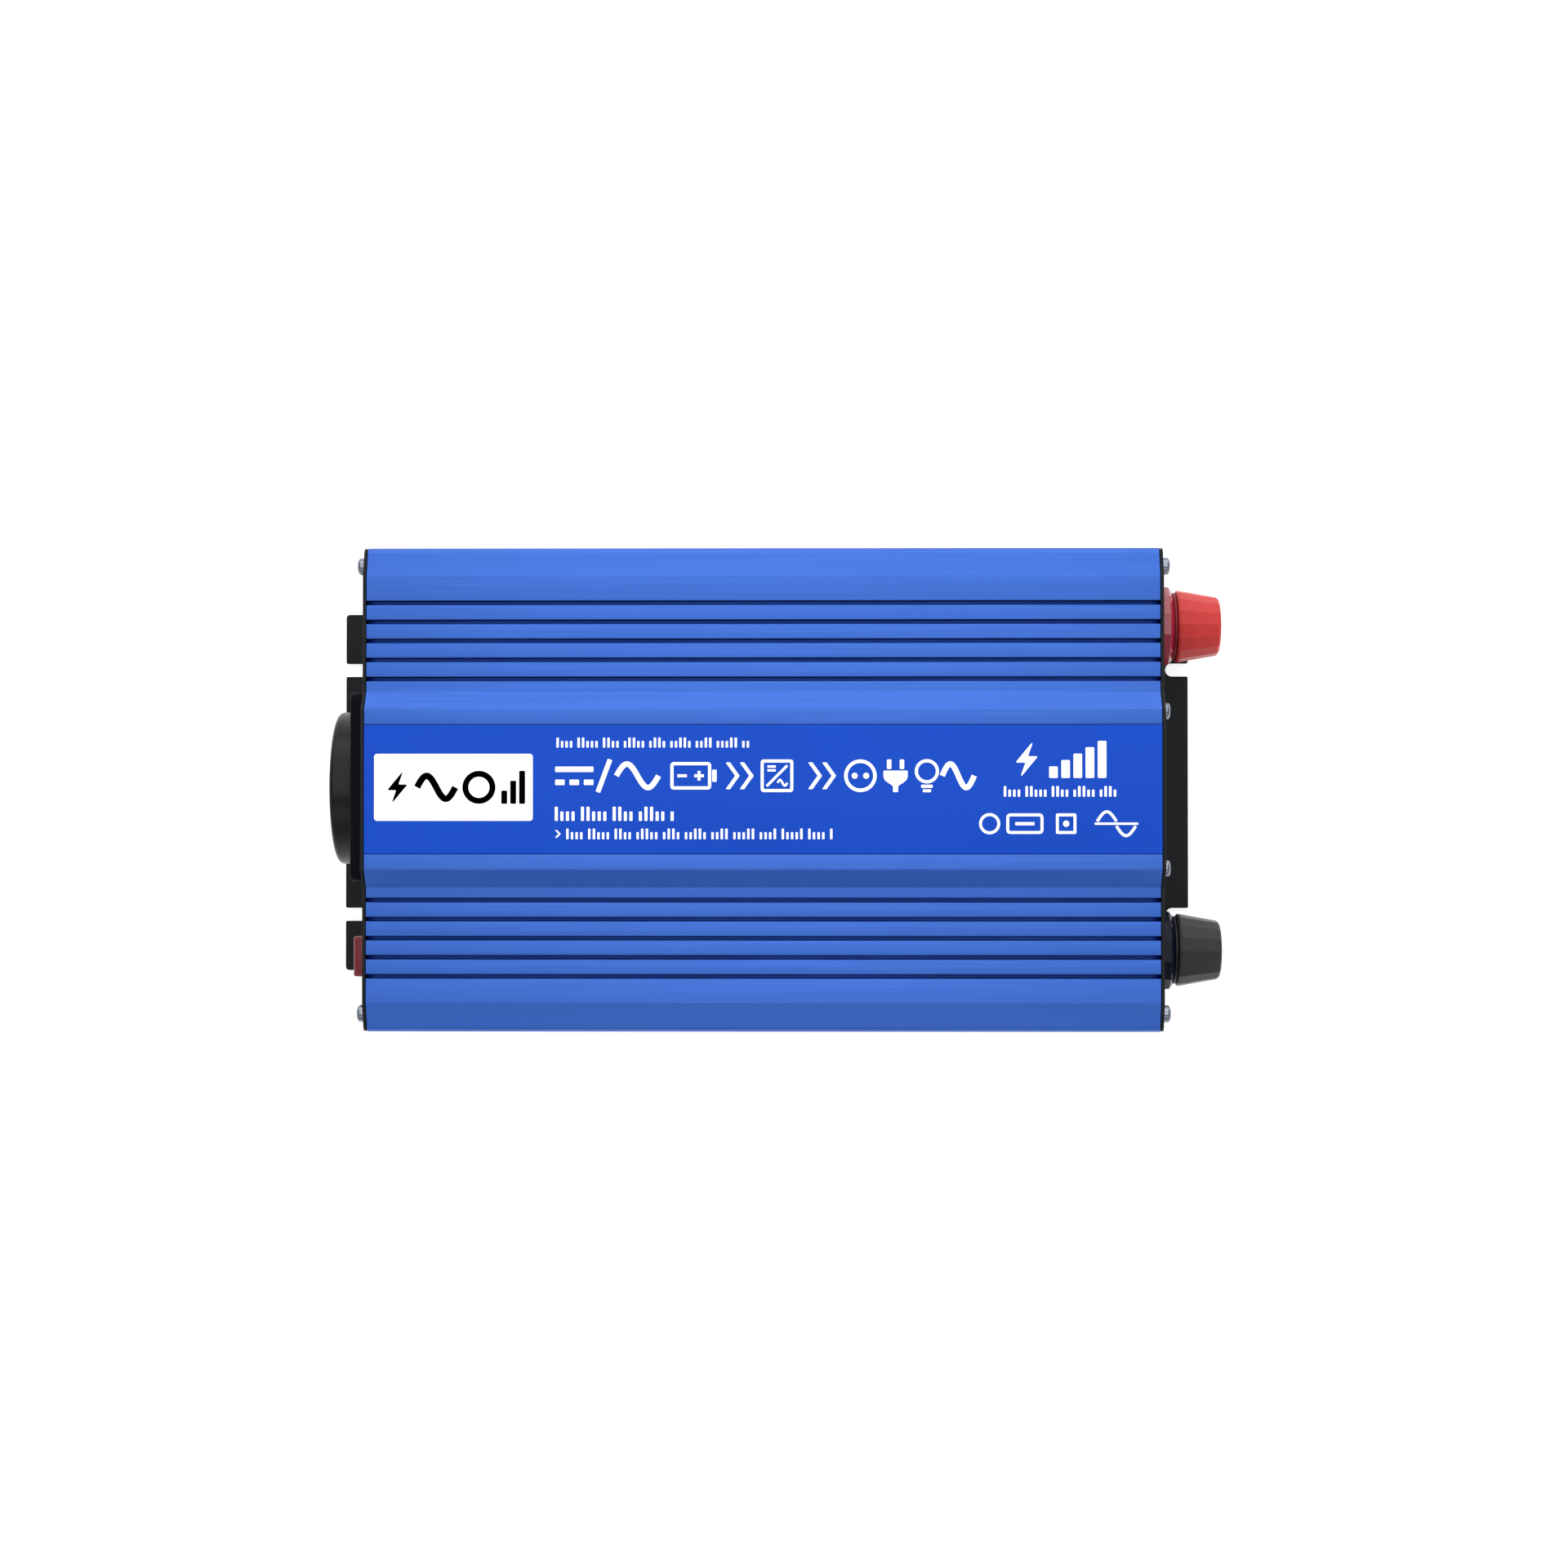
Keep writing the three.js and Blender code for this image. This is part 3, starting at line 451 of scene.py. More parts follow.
def anodised_blue():
    """Satin anodised extrusion with draw lines along it, a fine etched speckle, and painted shade in its
    grooves, where ambient occlusion darkens them towards dark navy.
    """
    color = linear(43, 90, 177)
    material, tree, principled = shader("anodised_blue", color, 0.42, 0.55)
    lines = noise(tree, 1400, (0.012, 1, 1), detail=3.0)
    speckle = noise(tree, 5200, detail=2.0)
    slow = noise(tree, 14, (0.3, 1, 1), detail=2.0)
    tone = blend_colors(tree, remap(tree, slow, 0, 1), shade(color, 0.96), shade(color, 1.03))
    drawn = blend_colors(tree, remap(tree, lines, 0, 0.35), tone, shade(color, 0.88))
    etched = blend_colors(tree, remap(tree, speckle, 0, 0.25), drawn, shade(color, 1.12))
    # Painted shade: ambient occlusion gives the mask `depth`, which blends the grooves and other recesses
    # towards dark navy and makes them more metallic.
    painted_groove_shade_ao = add_node(tree, "AmbientOcclusion", Distance=0.003)
    painted_groove_shade_ao.samples = 8
    depth = remap(tree, painted_groove_shade_ao.outputs["AO"], 1, 0, 0.3, 0.62)
    total = tree.nodes.new("ShaderNodeMath")
    total.operation = "ADD"
    tree.links.new(lines, total.inputs[0])
    tree.links.new(speckle, total.inputs[1])
    fill(tree, principled, {
        "Base Color": blend_colors(tree, depth, etched, linear(0, 13, 78)),
        "Metallic": remap(tree, depth, 0.55, 1.0, 0, 1),
        "Roughness": remap(tree, lines, 0.36, 0.48),
        "Normal": bump(tree, total.outputs["Value"], 0.000006),
    })
    return material


def moulded(name, color, roughness, grain=2200, relief=0.00001, **sockets):
    return textured(name, color, roughness, vary=0.07, grain=grain, rough_vary=0.04,
                    relief=relief, patch=70, **sockets)


def translucent(name, color, roughness, clear, depth, gloss=0.5):
    """Tinted plastic that light goes into."""
    return moulded(name, color, roughness, gloss=gloss, IOR=1.49, Transmission_Weight=clear,
                   Subsurface_Weight=depth, Subsurface_Radius=(0.004, 0.001, 0.001), Subsurface_Scale=1.0)


def wound(name, color, roughness, metallic, turns, axis):
    """Wire or tape laid in close turns: bands across `axis`."""
    material, tree, principled = shader(name, color, roughness, metallic)
    spot = add_node(tree, "TexCoord").outputs["Object"]
    wave = add_node(tree, "TexWave", Vector=spot, Scale=turns, Distortion=0.3)
    wave.bands_direction = axis
    band = wave.outputs["Fac"]
    tone = blend_colors(tree, band, shade(color, 0.6), shade(color, 1.1))
    fill(tree, principled, {"Base Color": tone, "Normal": bump(tree, band, 0.0003)})
    return material


BLUE = anodised_blue()
LABEL = textured("label_print", linear(24, 71, 181), 0.4, vary=0.04, grain=3500, rough_vary=0.05,
                 relief=0.000003, patch=16, gloss=0.04)
INK_WHITE = textured("ink_white", linear(246, 248, 252), 0.38, vary=0.03, grain=3000, rough_vary=0.04,
                     relief=0.000003)
INK_NAVY = textured("ink_navy", linear(12, 22, 62), 0.38, vary=0.1, grain=3000, rough_vary=0.04,
                    relief=0.000003)
BLACK = textured("black_paint", linear(23, 26, 29), 0.42, vary=0.16, grain=1500, rough_vary=0.07,
                 relief=0.00004, patch=60, gloss=0.1)
STEEL = textured("bright_steel", (0.78, 0.79, 0.80), 0.24, 1.0, vary=0.06, grain=2600, relief=0.000001)
BRASS = textured("brass", (0.72, 0.50, 0.20), 0.26, 1.0, vary=0.08, grain=1800, stretch=(1, 6, 6),
                 rough_vary=0.08, relief=0.000006)
SOCKET = moulded("socket_plastic", linear(18, 19, 18), 0.28, grain=1200, relief=0.000006, gloss=0.16)
FLANGE = moulded("socket_plastic_satin", linear(10, 12, 20), 0.5, relief=0.00002, gloss=0.03)
MATT = moulded("black_plastic", linear(28, 29, 30), 0.5, relief=0.00003, gloss=0.15)
ROCKER = translucent("clear_red", linear(142, 42, 54), 0.18, 0.35, 0.3)
WHITE = moulded("white_plastic", linear(228, 228, 222), 0.4)
LAMP_GREEN = translucent("lamp_green", linear(110, 205, 120), 0.12, 0.6, 0.3)
LAMP_RED = translucent("lamp_red", linear(215, 60, 48), 0.12, 0.6, 0.3)
RED = moulded("terminal_red", linear(188, 54, 52), 0.34, relief=0.000008,
              gloss=0.18, Subsurface_Weight=0.15, Subsurface_Scale=0.003)
DARK = moulded("terminal_black", linear(44, 44, 43), 0.34, relief=0.000008, gloss=0.2)
WASHER_RED = moulded("washer_red", linear(120, 24, 34), 0.35, gloss=0.2)
WASHER_DARK = moulded("washer_black", linear(20, 21, 26), 0.35, gloss=0.2)
SCREW = textured("screw_nickel", (0.19, 0.21, 0.25), 0.14, 1.0, vary=0.1, grain=2600, relief=0.000004)
COLLAR_RED = translucent("terminal_collar_red", linear(158, 34, 56), 0.08, 0.08, 0.2, 0.6)
COLLAR_DARK = translucent("terminal_collar_black", linear(14, 18, 36), 0.14, 0.0, 0.1, 0.1)
BOARD = textured("board_green", linear(24, 92, 52), 0.36, vary=0.25, grain=420, rough_vary=0.08,
                 relief=0.00004, patch=120)
FERRITE = textured("ferrite", linear(62, 62, 66), 0.62, 0.1, vary=0.15, grain=1500, relief=0.00003)
TAPE = wound("winding_tape", linear(214, 170, 44), 0.42, 0.0, 180, "Z")
COPPER = wound("copper_wire", linear(176, 98, 52), 0.34, 0.8, 260, "X")
SLEEVE = moulded("capacitor_sleeve", linear(30, 33, 50), 0.3)
MILL = textured("plain_aluminium", (0.62, 0.63, 0.65), 0.38, 1.0, vary=0.06, grain=1500,
                stretch=(0.03, 1, 1), rough_vary=0.08, relief=0.00001)
LEAD_RED = moulded("lead_red", linear(176, 40, 36), 0.45)
LEAD_BLACK = moulded("lead_black", linear(26, 26, 26), 0.45)


# ---------- case ----------
_, case_high = box("housing")
END_X = case_high.x
HALF = case_high.y
TOP = case_high.z
label_low, label_high = box("label_foil")
_, base_high = box("base_plate")
FACE = box("dc_end_plate")[1].x


def shoulder(inset=0.0):
    """The slope outside the last groove, and the case's round outer edge."""
    edge = arc(EDGE_Y - inset, EDGE_FOOT - inset, HALF - EDGE_Y, 90, 0, 8, EDGE_TOP - EDGE_FOOT)
    return [(SHOULDER_START - inset / 2, DECK_Z - inset, 0.8), *unrounded(edge)]


def grooves(place_at, first, pitch, count, width, depth, descending):
    """Corner points of a row of grooves; place_at gives the point at a run along and a depth in."""
    order = range(count - 1, -1, -1) if descending else range(count)
    sign = -1 if descending else 1
    points = []
    for i in order:
        middle = first + pitch * i
        near, far = middle - sign * width / 2, middle + sign * width / 2
        points += [(*place_at(near, 0), 0.3), (*place_at(near, depth), 0.25),
                   (*place_at(far, depth), 0.25), (*place_at(far, 0), 0.3)]
    return points


def case_outline():
    """The extrusion's section: outside and inside as one closed outline, open at the bottom."""
    label_edge = label_high.y + 0.2
    outer = [
        (label_edge, TOP - LABEL_RECESS, 0), (label_edge, TOP, 0.1),
        (PLATEAU_HALF, TOP, 0.5), (SLOPE_FOOT, DECK_Z, 0.6),
        *grooves(lambda run, deep: (run, DECK_Z - deep), GROOVE_FIRST, GROOVE_PITCH, GROOVE_COUNT,
                 GROOVE_WIDTH, GROOVE_DEPTH, False),
        *shoulder(),
        *grooves(lambda run, deep: (HALF - deep, run), SIDE_FIRST, SIDE_PITCH, SIDE_COUNT,
                 SIDE_WIDTH, SIDE_DEPTH, True),
        (HALF, 0, 0.3),
    ]
    boss_y, boss_z, boss_r, _ = BOSS
    boss = arc(boss_y, boss_z, boss_r, 318, 90, 14)
    rib_foot, rib_top = FOOT_RIB
    (foot_1, top_1), (foot_2, top_2) = BOARD_GUIDES
    inner = [
        (WALL_INNER, 0, 0.2), (WALL_INNER, rib_foot, 0.2), (FOOT_RIB_TIP, rib_foot, 0.3),
        (FOOT_RIB_TIP, rib_top, 0.3), (WALL_INNER, rib_top, 0.3), (WALL_INNER, foot_1, 0.3),
        (GUIDE_TIP, foot_1, 0.3), (GUIDE_TIP, top_1, 0.2), (WALL_INNER, top_1, 0.1),
        (WALL_INNER, foot_2, 0.1), (GUIDE_TIP, foot_2, 0.2), (GUIDE_TIP, top_2, 0.3),
        (WALL_INNER, top_2, 0.3), *unrounded(boss), (boss_y, DECK_INNER, 0.4),
        (SLOPE_FOOT - 2, DECK_INNER, 0.6), (*PLATEAU_INNER, 0.6),
    ]
    return rounded(flipped(outer) + outer + inner + flipped(inner), 0.3)


def make_case():
    y, z, _, bore = BOSS
    loops = [case_outline(), circle(y, z, bore, 16), circle(-y, z, bore, 16)]
    body = sweep("case_shell", loops, "X", -END_X, END_X, 0.15)
    place(body, "case", BLUE, "anodised_blue", "housing", angle=28)


def slot_corners(end, side):
    """An open slot in a tongue's edge, from its mouth in and back out."""
    inner = base_high.x - SLOT_DEPTH + SLOT_WIDTH / 2
    r = SLOT_WIDTH / 2
    y = side * SLOT_Y
    mouth = base_high.x
    turn = arc(inner, y, r, 90, 270, 12)
    points = [(mouth, y + r, 0.5), *unrounded(turn), (mouth, y - r, 0.5)]
    return [(end * u, v, radius) for u, v, radius in points]


def base_outline():
    half = base_high.y
    right = [
        (END_X, half, 0.5), (END_X, TONGUE_HALF, 0.4), (base_high.x, TONGUE_HALF, 1.2),
        *slot_corners(1, 1), *slot_corners(1, -1),
        (base_high.x, -TONGUE_HALF, 1.2), (END_X, -TONGUE_HALF, 0.4), (END_X, -half, 0.5),
    ]
    return rounded(right + flipped(right), 0.4)


def make_base():
    plate = sweep("plate", [base_outline()], "Z", 0, PLATE_T, 0.25)
    rails = []
    y, z, r, bore = RAIL
    for side in (-1, 1):
        key = [(side * y - 2, PLATE_T - 0.1), (side * y + 2, PLATE_T - 0.1)]
        channel = [*key, *arc(side * y, z, r, -50, 230, 20)]
        rails.append(sweep("rail", [channel, circle(side * y, z, bore, 16)], "X", -END_X, END_X))
    base = combine(plate, rails, "UNION")
    base.name = "base"
    place(base, "case", BLACK, "black_paint", "base_plate")


# ---------- end plates ----------
def plate_outline():
    inset = PLATE_INSET
    half = [
        (PLATEAU_HALF - inset / 2, TOP - inset, 0.5), (SLOPE_FOOT - inset / 2, DECK_Z - inset, 0.6),
        *shoulder(inset), (HALF - inset, 0.4, 0.4), (TONGUE_RELIEF, 0.4, 0.3),
        (TONGUE_RELIEF, PLATE_T + 0.3, 0.3),
    ]
    return rounded(flipped(half) + half, 0.3)


def make_panel(name, holes, node):
    """An end plate with the given holes and one for each corner's screw."""
    low, high = box(node)
    corners = [circle(side * y, z, HOLE_R, 16) for y, z, _, _ in (BOSS, RAIL) for side in (1, -1)]
    plate = sweep(name, [plate_outline(), *corners, *holes], "X", low.x, high.x, 0.12, 1)
    place(plate, "case", BLACK, "black_paint", node)


def make_ac_plate():
    switch_y, _ = middle("switch_body")
    holes = [
        circle(PANEL_Y, PANEL_Z, SOCKET_HOLE, 64),
        rectangle(switch_y, PANEL_Z, *SWITCH_HOLE),
        rectangle(*middle("usb_port_can"), *USB_HOLE, 0.4),
    ]
    for lamp in ("power_lamp", "fault_lamp"):
        holes.append(circle(*middle(lamp), LAMP_HOLE))
    for side in (-1, 1):
        for i in range(INTAKE_COUNT):
            y = side * INTAKE_Y + (i - (INTAKE_COUNT - 1) / 2) * INTAKE_PITCH
            holes.append(rectangle(y, INTAKE_Z, *INTAKE_HALF, 1.15, 5))
    make_panel("ac_panel", holes, "ac_end_plate")


def grille_holes(z):
    """Three rings of openings round the fan's middle, each parted by four bars."""
    holes = []
    steps = 16
    for inner, outer in GRILLE_RINGS:
        shrink = degrees(GRILLE_BAR / (inner + outer))
        for i in range(4):
            start, end = 45 + 90 * i + shrink, 135 + 90 * i - shrink
            sector = arc(0, z, outer, start, end, steps) + arc(0, z, inner, end, start, steps)
            holes.append(rounded_ends(sector, steps + 1, 0.8))
    return holes


def rounded_ends(points, count, radius):
    """A sector of two arcs of `count` points each, with its four corners rounded."""
    corners = {0, count - 1, count, 2 * count - 1}
    return rounded([(*p, radius if i in corners else 0) for i, p in enumerate(points)], 0)


def fan_holes(z, steps):
    return [circle(a * FAN_HOLE, z + b * FAN_HOLE, HOLE_R, steps) for a in (-1, 1) for b in (-1, 1)]


def make_dc_plate():
    _, fan_z = middle("fan_frame")
    holes = fan_holes(fan_z, 16)
    for color in ("red", "black"):
        holes.append(circle(*middle(f"terminal_collar_{color}"), COLLAR_HOLE, 32))
    make_panel("dc_panel", holes + grille_holes(fan_z), "dc_end_plate")


# ---------- screws ----------
def screw_mesh():
    """A pan head screw along +X with its seat at the origin."""
    dome = [(SCREW_HEAD * cos(t) ** 0.5, SCREW_HEIGHT * (0.55 + 0.45 * sin(t)))
            for t in (pi / 2 * i / 8 for i in range(8))]
    thread = []
    for i in range(19):
        crest = 0.4 - SCREW_LENGTH + i * THREAD_PITCH
        thread += [(THREAD_R, crest), (THREAD_ROOT, crest + THREAD_PITCH / 2)]
    profile = [(0, -SCREW_LENGTH), (1.1, -SCREW_LENGTH), *thread, (THREAD_R, -0.1), (THREAD_R, 0),
               (SCREW_HEAD - 0.1, 0), (SCREW_HEAD, 0.1), *dome, (0, SCREW_HEIGHT)]
    screw = revolve("screw", profile, "X", segments=32)
    cutters = []
    tip, mouth = 1.3, SCREW_HEIGHT + 0.5
    for half_y, half_z in ((1.55, 0.38), (0.38, 1.55)):
        rows = [[Vector((along, y, z)) for y, z in rectangle(0, 0, half_y * grow, half_z * grow)]
                for along, grow in ((tip, 0.55), (mouth, 1.15))]
        cutters.append(grid("cross", rows))
    mesh = combine(screw, cutters, "DIFFERENCE").data
    bpy.data.objects.remove(screw)
    return mesh


def make_screws():
    """Every end plate and fan screw, each with its slots turned another way."""
    shared = screw_mesh()
    names = [f"{end}_plate_screw_{i}" for end in ("ac", "dc") for i in range(1, 5)]
    names += [f"fan_screw_{i}" for i in range(1, 5)]
    for number, node in enumerate(names):
        low, high = box(node)
        at_ac = node.startswith("ac")
        seat = low.x + SCREW_HEIGHT if at_ac else high.x - SCREW_HEIGHT
        flip = Matrix.Rotation(pi if at_ac else 0, 4, "Z")
        twist = Matrix.Rotation(radians(37 * number), 4, "X")
        screw = link(bpy.data.objects.new(node + "_head", shared.copy()))
        screw.data.transform(Matrix.Translation((seat, *middle(node))) @ flip @ twist)
        place(screw, "case", SCREW, "bright_steel", node, angle=32)


# ---------- label ----------
INK_LOW = -0.02
INK_HIGH = 0.05


def ink(name, shapes, material):
    """Printed shapes on the label, as one list of outlines in label millimetres (X, Y) that never cross."""
    place(sweep(name, shapes, "Z", TOP + INK_LOW, TOP + INK_HIGH), "case", material, "label_print")


def stroke(points, half):
    """A line of even width through the points, as a closed outline."""
    left, right = [], []
    for i, point in enumerate(points):
        before = Vector(points[max(i - 1, 0)])
        after = Vector(points[min(i + 1, len(points) - 1)])
        along = (after - before).normalized()
        across = Vector((-along.y, along.x)) * half
        left.append(tuple(Vector(point) + across))
        right.append(tuple(Vector(point) - across))
    return left + right[::-1]


def sine(x, y, half_length, height, half):
    steps = 32
    points = [(x + half_length * (2 * i / steps - 1), y + height * sin(2 * pi * i / steps))
              for i in range(steps + 1)]
    return [stroke(points, half)]


def hoop(x, y, r, thickness):
    return [circle(x, y, r, 40), circle(x, y, r - thickness, 40)]


def hollow(x, y, half_x, half_y, thickness, radius=1.0):
    inner = max(radius - thickness, 0.2)
    return [rectangle(x, y, half_x, half_y, radius),
            rectangle(x, y, half_x - thickness, half_y - thickness, inner)]


def bolt(x, y, size):
    corners = [(2.2, 6), (-3.6, -1.0), (-0.4, -1.0), (-2.2, -6), (3.6, 1.0), (0.4, 1.0)]
    return [rounded([(x + u * size / 6, y + v * size / 6) for u, v in corners], 0.3)]


def chevron(x, y, reach=3.0, rise=4.2, half=0.7):
    """An arrow head that points to +X."""
    corners = [(x, y + rise), (x + 2 * half, y + rise), (x + reach + 2 * half, y),
               (x + 2 * half, y - rise), (x, y - rise), (x + reach, y)]
    return [rounded(corners, 0.2)]


def direct_current(x, y, half_length, half):
    """A full line over a broken one."""
    dash = half_length / 4
    shapes = [rectangle(x, y + 2.4 * half, half_length, half, 0.3)]
    return shapes + [rectangle(x + i * 3 * dash, y - 2.4 * half, dash, half, 0.3) for i in (-1, 0, 1)]


def battery(x, y):
    shapes = hollow(x, y, 6.4, 4.3, 1.0, 1.2)
    shapes.append(rectangle(x + 7.4, y, 0.7, 1.9, 0.3))
    shapes.append(rectangle(x - 2.7, y, 1.5, 0.45, 0.2))
    plus = []
    quarter = [(-1.5, -0.45), (-0.45, -0.45), (-0.45, -1.5)]
    for _ in range(4):
        plus += quarter
        quarter = [(-v, u) for u, v in quarter]
    return shapes + [[(x + 2.6 + u, y + v) for u, v in plus]]


def converter(x, y):
    """A box split corner to corner, direct current above and alternating below."""
    shapes = hollow(x, y, 5.1, 5.1, 0.95, 1.0)
    shapes.append(stroke([(x - 3.2, y - 3.2), (x + 3.2, y + 3.2)], 0.4))
    shapes += [rectangle(x - 1.7, y + 2.9, 1.3, 0.35), rectangle(x - 1.7, y + 1.7, 1.3, 0.35)]
    return shapes + sine(x + 1.7, y - 2.2, 1.5, 0.9, 0.35)


def outlet(x, y):
    shapes = hoop(x, y, 5.1, 1.1)
    return shapes + [circle(x - 1.8, y, 0.95, 20), circle(x + 1.8, y, 0.95, 20)]


def plug(x, y):
    body = [(x - 3.8, y + 1.6, 0.3), (x + 3.8, y + 1.6, 0.3), (x + 3.8, y - 1.2, 2.4),
            (x + 0.8, y - 3.2, 0.6), (x + 0.8, y - 5.1, 0.2), (x - 0.8, y - 5.1, 0.2),
            (x - 0.8, y - 3.2, 0.6), (x - 3.8, y - 1.2, 2.4)]
    prongs = [rectangle(x + side * 2.0, y + 3.6, 0.7, 1.5, 0.3) for side in (-1, 1)]
    return [rounded(body, 0.3), *prongs]


def bulb(x, y):
    shapes = hoop(x, y + 1.4, 3.8, 1.0)
    return shapes + [rectangle(x, y - 3.3, 1.8, 0.5, 0.3), rectangle(x, y - 4.7, 1.3, 0.45, 0.3)]


def levels(x, y, count, width, gap, low, high):
    """Bars that rise from left to right, all standing on y."""
    shapes = []
    for i in range(count):
        half = (low + (high - low) * i / (count - 1)) / 2
        shapes.append(rectangle(x + width / 2 + i * (width + gap), y + half, width / 2, half, 0.4))
    return shapes


def ticks(x, end, y, height, width, gap):
    """Upright ticks in groups, tall and short, that stand where a line of small print would."""
    shapes = []
    number = 0
    while x + width <= end:
        tall = number * 7 % 5 in (0, 3)
        size = height if tall else 0.66 * height
        shapes.append(rectangle(x + width / 2, y - height / 2 + size / 2, width / 2, size / 2, 0.15, 2))
        x += width + gap
        if number % 9 in (3, 8):
            x += 1.5 * gap
        number += 1
    return shapes


def make_label():
    foil = block("label_sheet", label_low, label_high, 0.05)
    place(foil, "case", LABEL, "label_print", "label_foil")
    badge_x, badge_y = -96.9, 0.6
    ink("label_badge", [rectangle(badge_x, badge_y, 24.9, 10.5, 1.1, 6)], INK_WHITE)

    mark = bolt(badge_x - 17.6, badge_y, 5.4)
    mark += sine(badge_x - 5.4, badge_y, 6.0, 3.6, 1.05)
    mark += hoop(badge_x + 8.0, badge_y, 5.2, 1.9)
    mark += levels(badge_x + 15.0, badge_y - 5.2, 3, 1.9, 0.9, 4.2, 10.4)
    ink("badge_mark", mark, INK_NAVY)

    row = 4.2
    signs = direct_current(-59.0, row, 6.0, 0.85)
    signs.append(stroke([(-51.6, row - 5.1), (-47.8, row + 5.1)], 0.75))
    signs += sine(-39.2, row, 6.6, 3.7, 0.85)
    signs += battery(-22.5, row) + chevron(-11.6, row) + chevron(-7.2, row)
    signs += converter(4.5, row)
    signs += chevron(14.2, row) + chevron(18.6, row)
    signs += outlet(30.6, row) + plug(41.6, row) + bulb(51.4, row)
    signs += sine(61.2, row, 5.0, 3.7, 0.85)
    signs += bolt(82.6, 9.3, 5.9) + levels(89.6, 3.5, 5, 2.7, 1.1, 3.6, 11.6)
    ink("label_signs", signs, INK_WHITE)

    print_lines = ticks(-64.6, -3.0, 14.6, 3.1, 0.75, 0.65)
    print_lines += ticks(-65.1, -27.6, -7.7, 4.4, 0.95, 0.8)
    print_lines += ticks(-61.5, 22.0, -14.0, 3.3, 0.75, 0.7)
    print_lines += chevron(-65.1, -14.0, 1.2, 1.2, 0.35)
    print_lines += ticks(75.4, 110.9, -0.7, 3.3, 0.8, 0.65)
    ink("label_print_lines", print_lines, INK_WHITE)

    low_row = -10.8
    icons = hoop(71.0, low_row, 3.3, 0.9) + hollow(82.0, low_row, 5.8, 3.2, 0.9, 1.4)
    icons += [rectangle(82.0, low_row, 3.0, 0.5, 0.2)]
    icons += hollow(94.9, low_row, 3.2, 3.2, 0.9, 0.6) + [circle(94.9, low_row, 1.0, 20)]
    for x, side in ((104.6, 1), (110.6, -1)):
        lobe = [(x + i / 2, low_row + side * (0.75 + 3.0 * sin(pi * i / 12))) for i in range(13)]
        icons.append(stroke(lobe, 0.45))
    icons.append(rectangle(110.6, low_row, 6.8, 0.35, 0.2))
    ink("label_icons", icons, INK_WHITE)


# ---------- mains socket ----------
def bitten_disc(r):
    """A disc's outline with a square bite at its top and bottom, where the earth clip's legs go through."""
    off = degrees(asin(CLIP_WAY / r))
    right = arc(0, 0, r, off - 90, 90 - off, 40)
    left = arc(0, 0, r, 90 + off, 270 - off, 40)
    return [*right, (CLIP_WAY, CLIP_R), (-CLIP_WAY, CLIP_R),
            *left, (-CLIP_WAY, -CLIP_R), (CLIP_WAY, -CLIP_R)]


def well_side(inner, outer):
    """One side of the well's wall, between the two ways for the earth clip."""
    off_in = degrees(asin(CLIP_WAY / inner))
    off_out = degrees(asin(CLIP_WAY / outer))
    outside = arc(0, 0, outer, off_out - 90, 90 - off_out, 40)
    return outside + arc(0, 0, inner, 90 - off_in, off_in - 90, 40)


def make_socket():
    """The outlet: a turned rim, the well inside it with a thick floor, and the square flange behind."""
    low, high = box("socket_body")
    rim_face, back = low.x, high.x
    shelf = -FACE - FLANGE_T
    floor = rim_face + WELL_DEPTH
    shell = BODY_R - 0.05
    inner_round, outer_round = 0.9, 1.6
    lip = arc(WELL_R + inner_round, rim_face + inner_round, inner_round, 180, 270, 4)
    rim = arc(RIM_R - outer_round, rim_face + outer_round, outer_round, 270, 360, 6)
    foot = arc(RIM_R + inner_round, shelf - inner_round, inner_round, 180, 90, 4)
    start = (shell, shelf + 1)
    profile = [start, (shell, rim_face + 2), (WELL_R, rim_face + 2), *lip, *rim, *foot,
               (RIM_R + inner_round, shelf + 1), start]
    right = well_side(WELL_R, BODY_R)
    pins = [circle(side * PIN_Y, 0, PIN_HOLE, 32) for side in (-1, 1)]
    chambers = [circle(side * PIN_Y, 0, CONTACT_ROOM) for side in (-1, 1)]
    socket = merge("socket", [
        revolve("rim", profile, "X", segments=96),
        sweep("well", [right, flipped(right)], "X", rim_face + 1.95, floor + 0.1),
        sweep("well_floor", [bitten_disc(BODY_R), *pins], "X", floor, floor + 1.6, 0.25, 3),
        sweep("well_back", [bitten_disc(BODY_R), *chambers], "X", floor + 1.5, back),
    ])
    flange_loops = [rectangle(0, 0, FLANGE_HALF, FLANGE_HALF, 4, 8), circle(0, 0, RIM_R - 0.5, 96)]
    flange = sweep("socket_flange", flange_loops, "X", shelf, -FACE - 0.2, 0.9, 4)
    for piece, material in ((socket, SOCKET), (flange, FLANGE)):
        piece.data.transform(Matrix.Translation((0, PANEL_Y, PANEL_Z)))
        place(piece, "case", material, "socket_plastic", "socket_body", angle=32)


# ---------- rocker switch ----------
def rocker_pivot():
    """A point on the rocker's axis."""
    joint = next(j for j in frame["joints"] if j["name"] == "rocker_tilt")
    return Vector(joint["pos_m"]) / MM


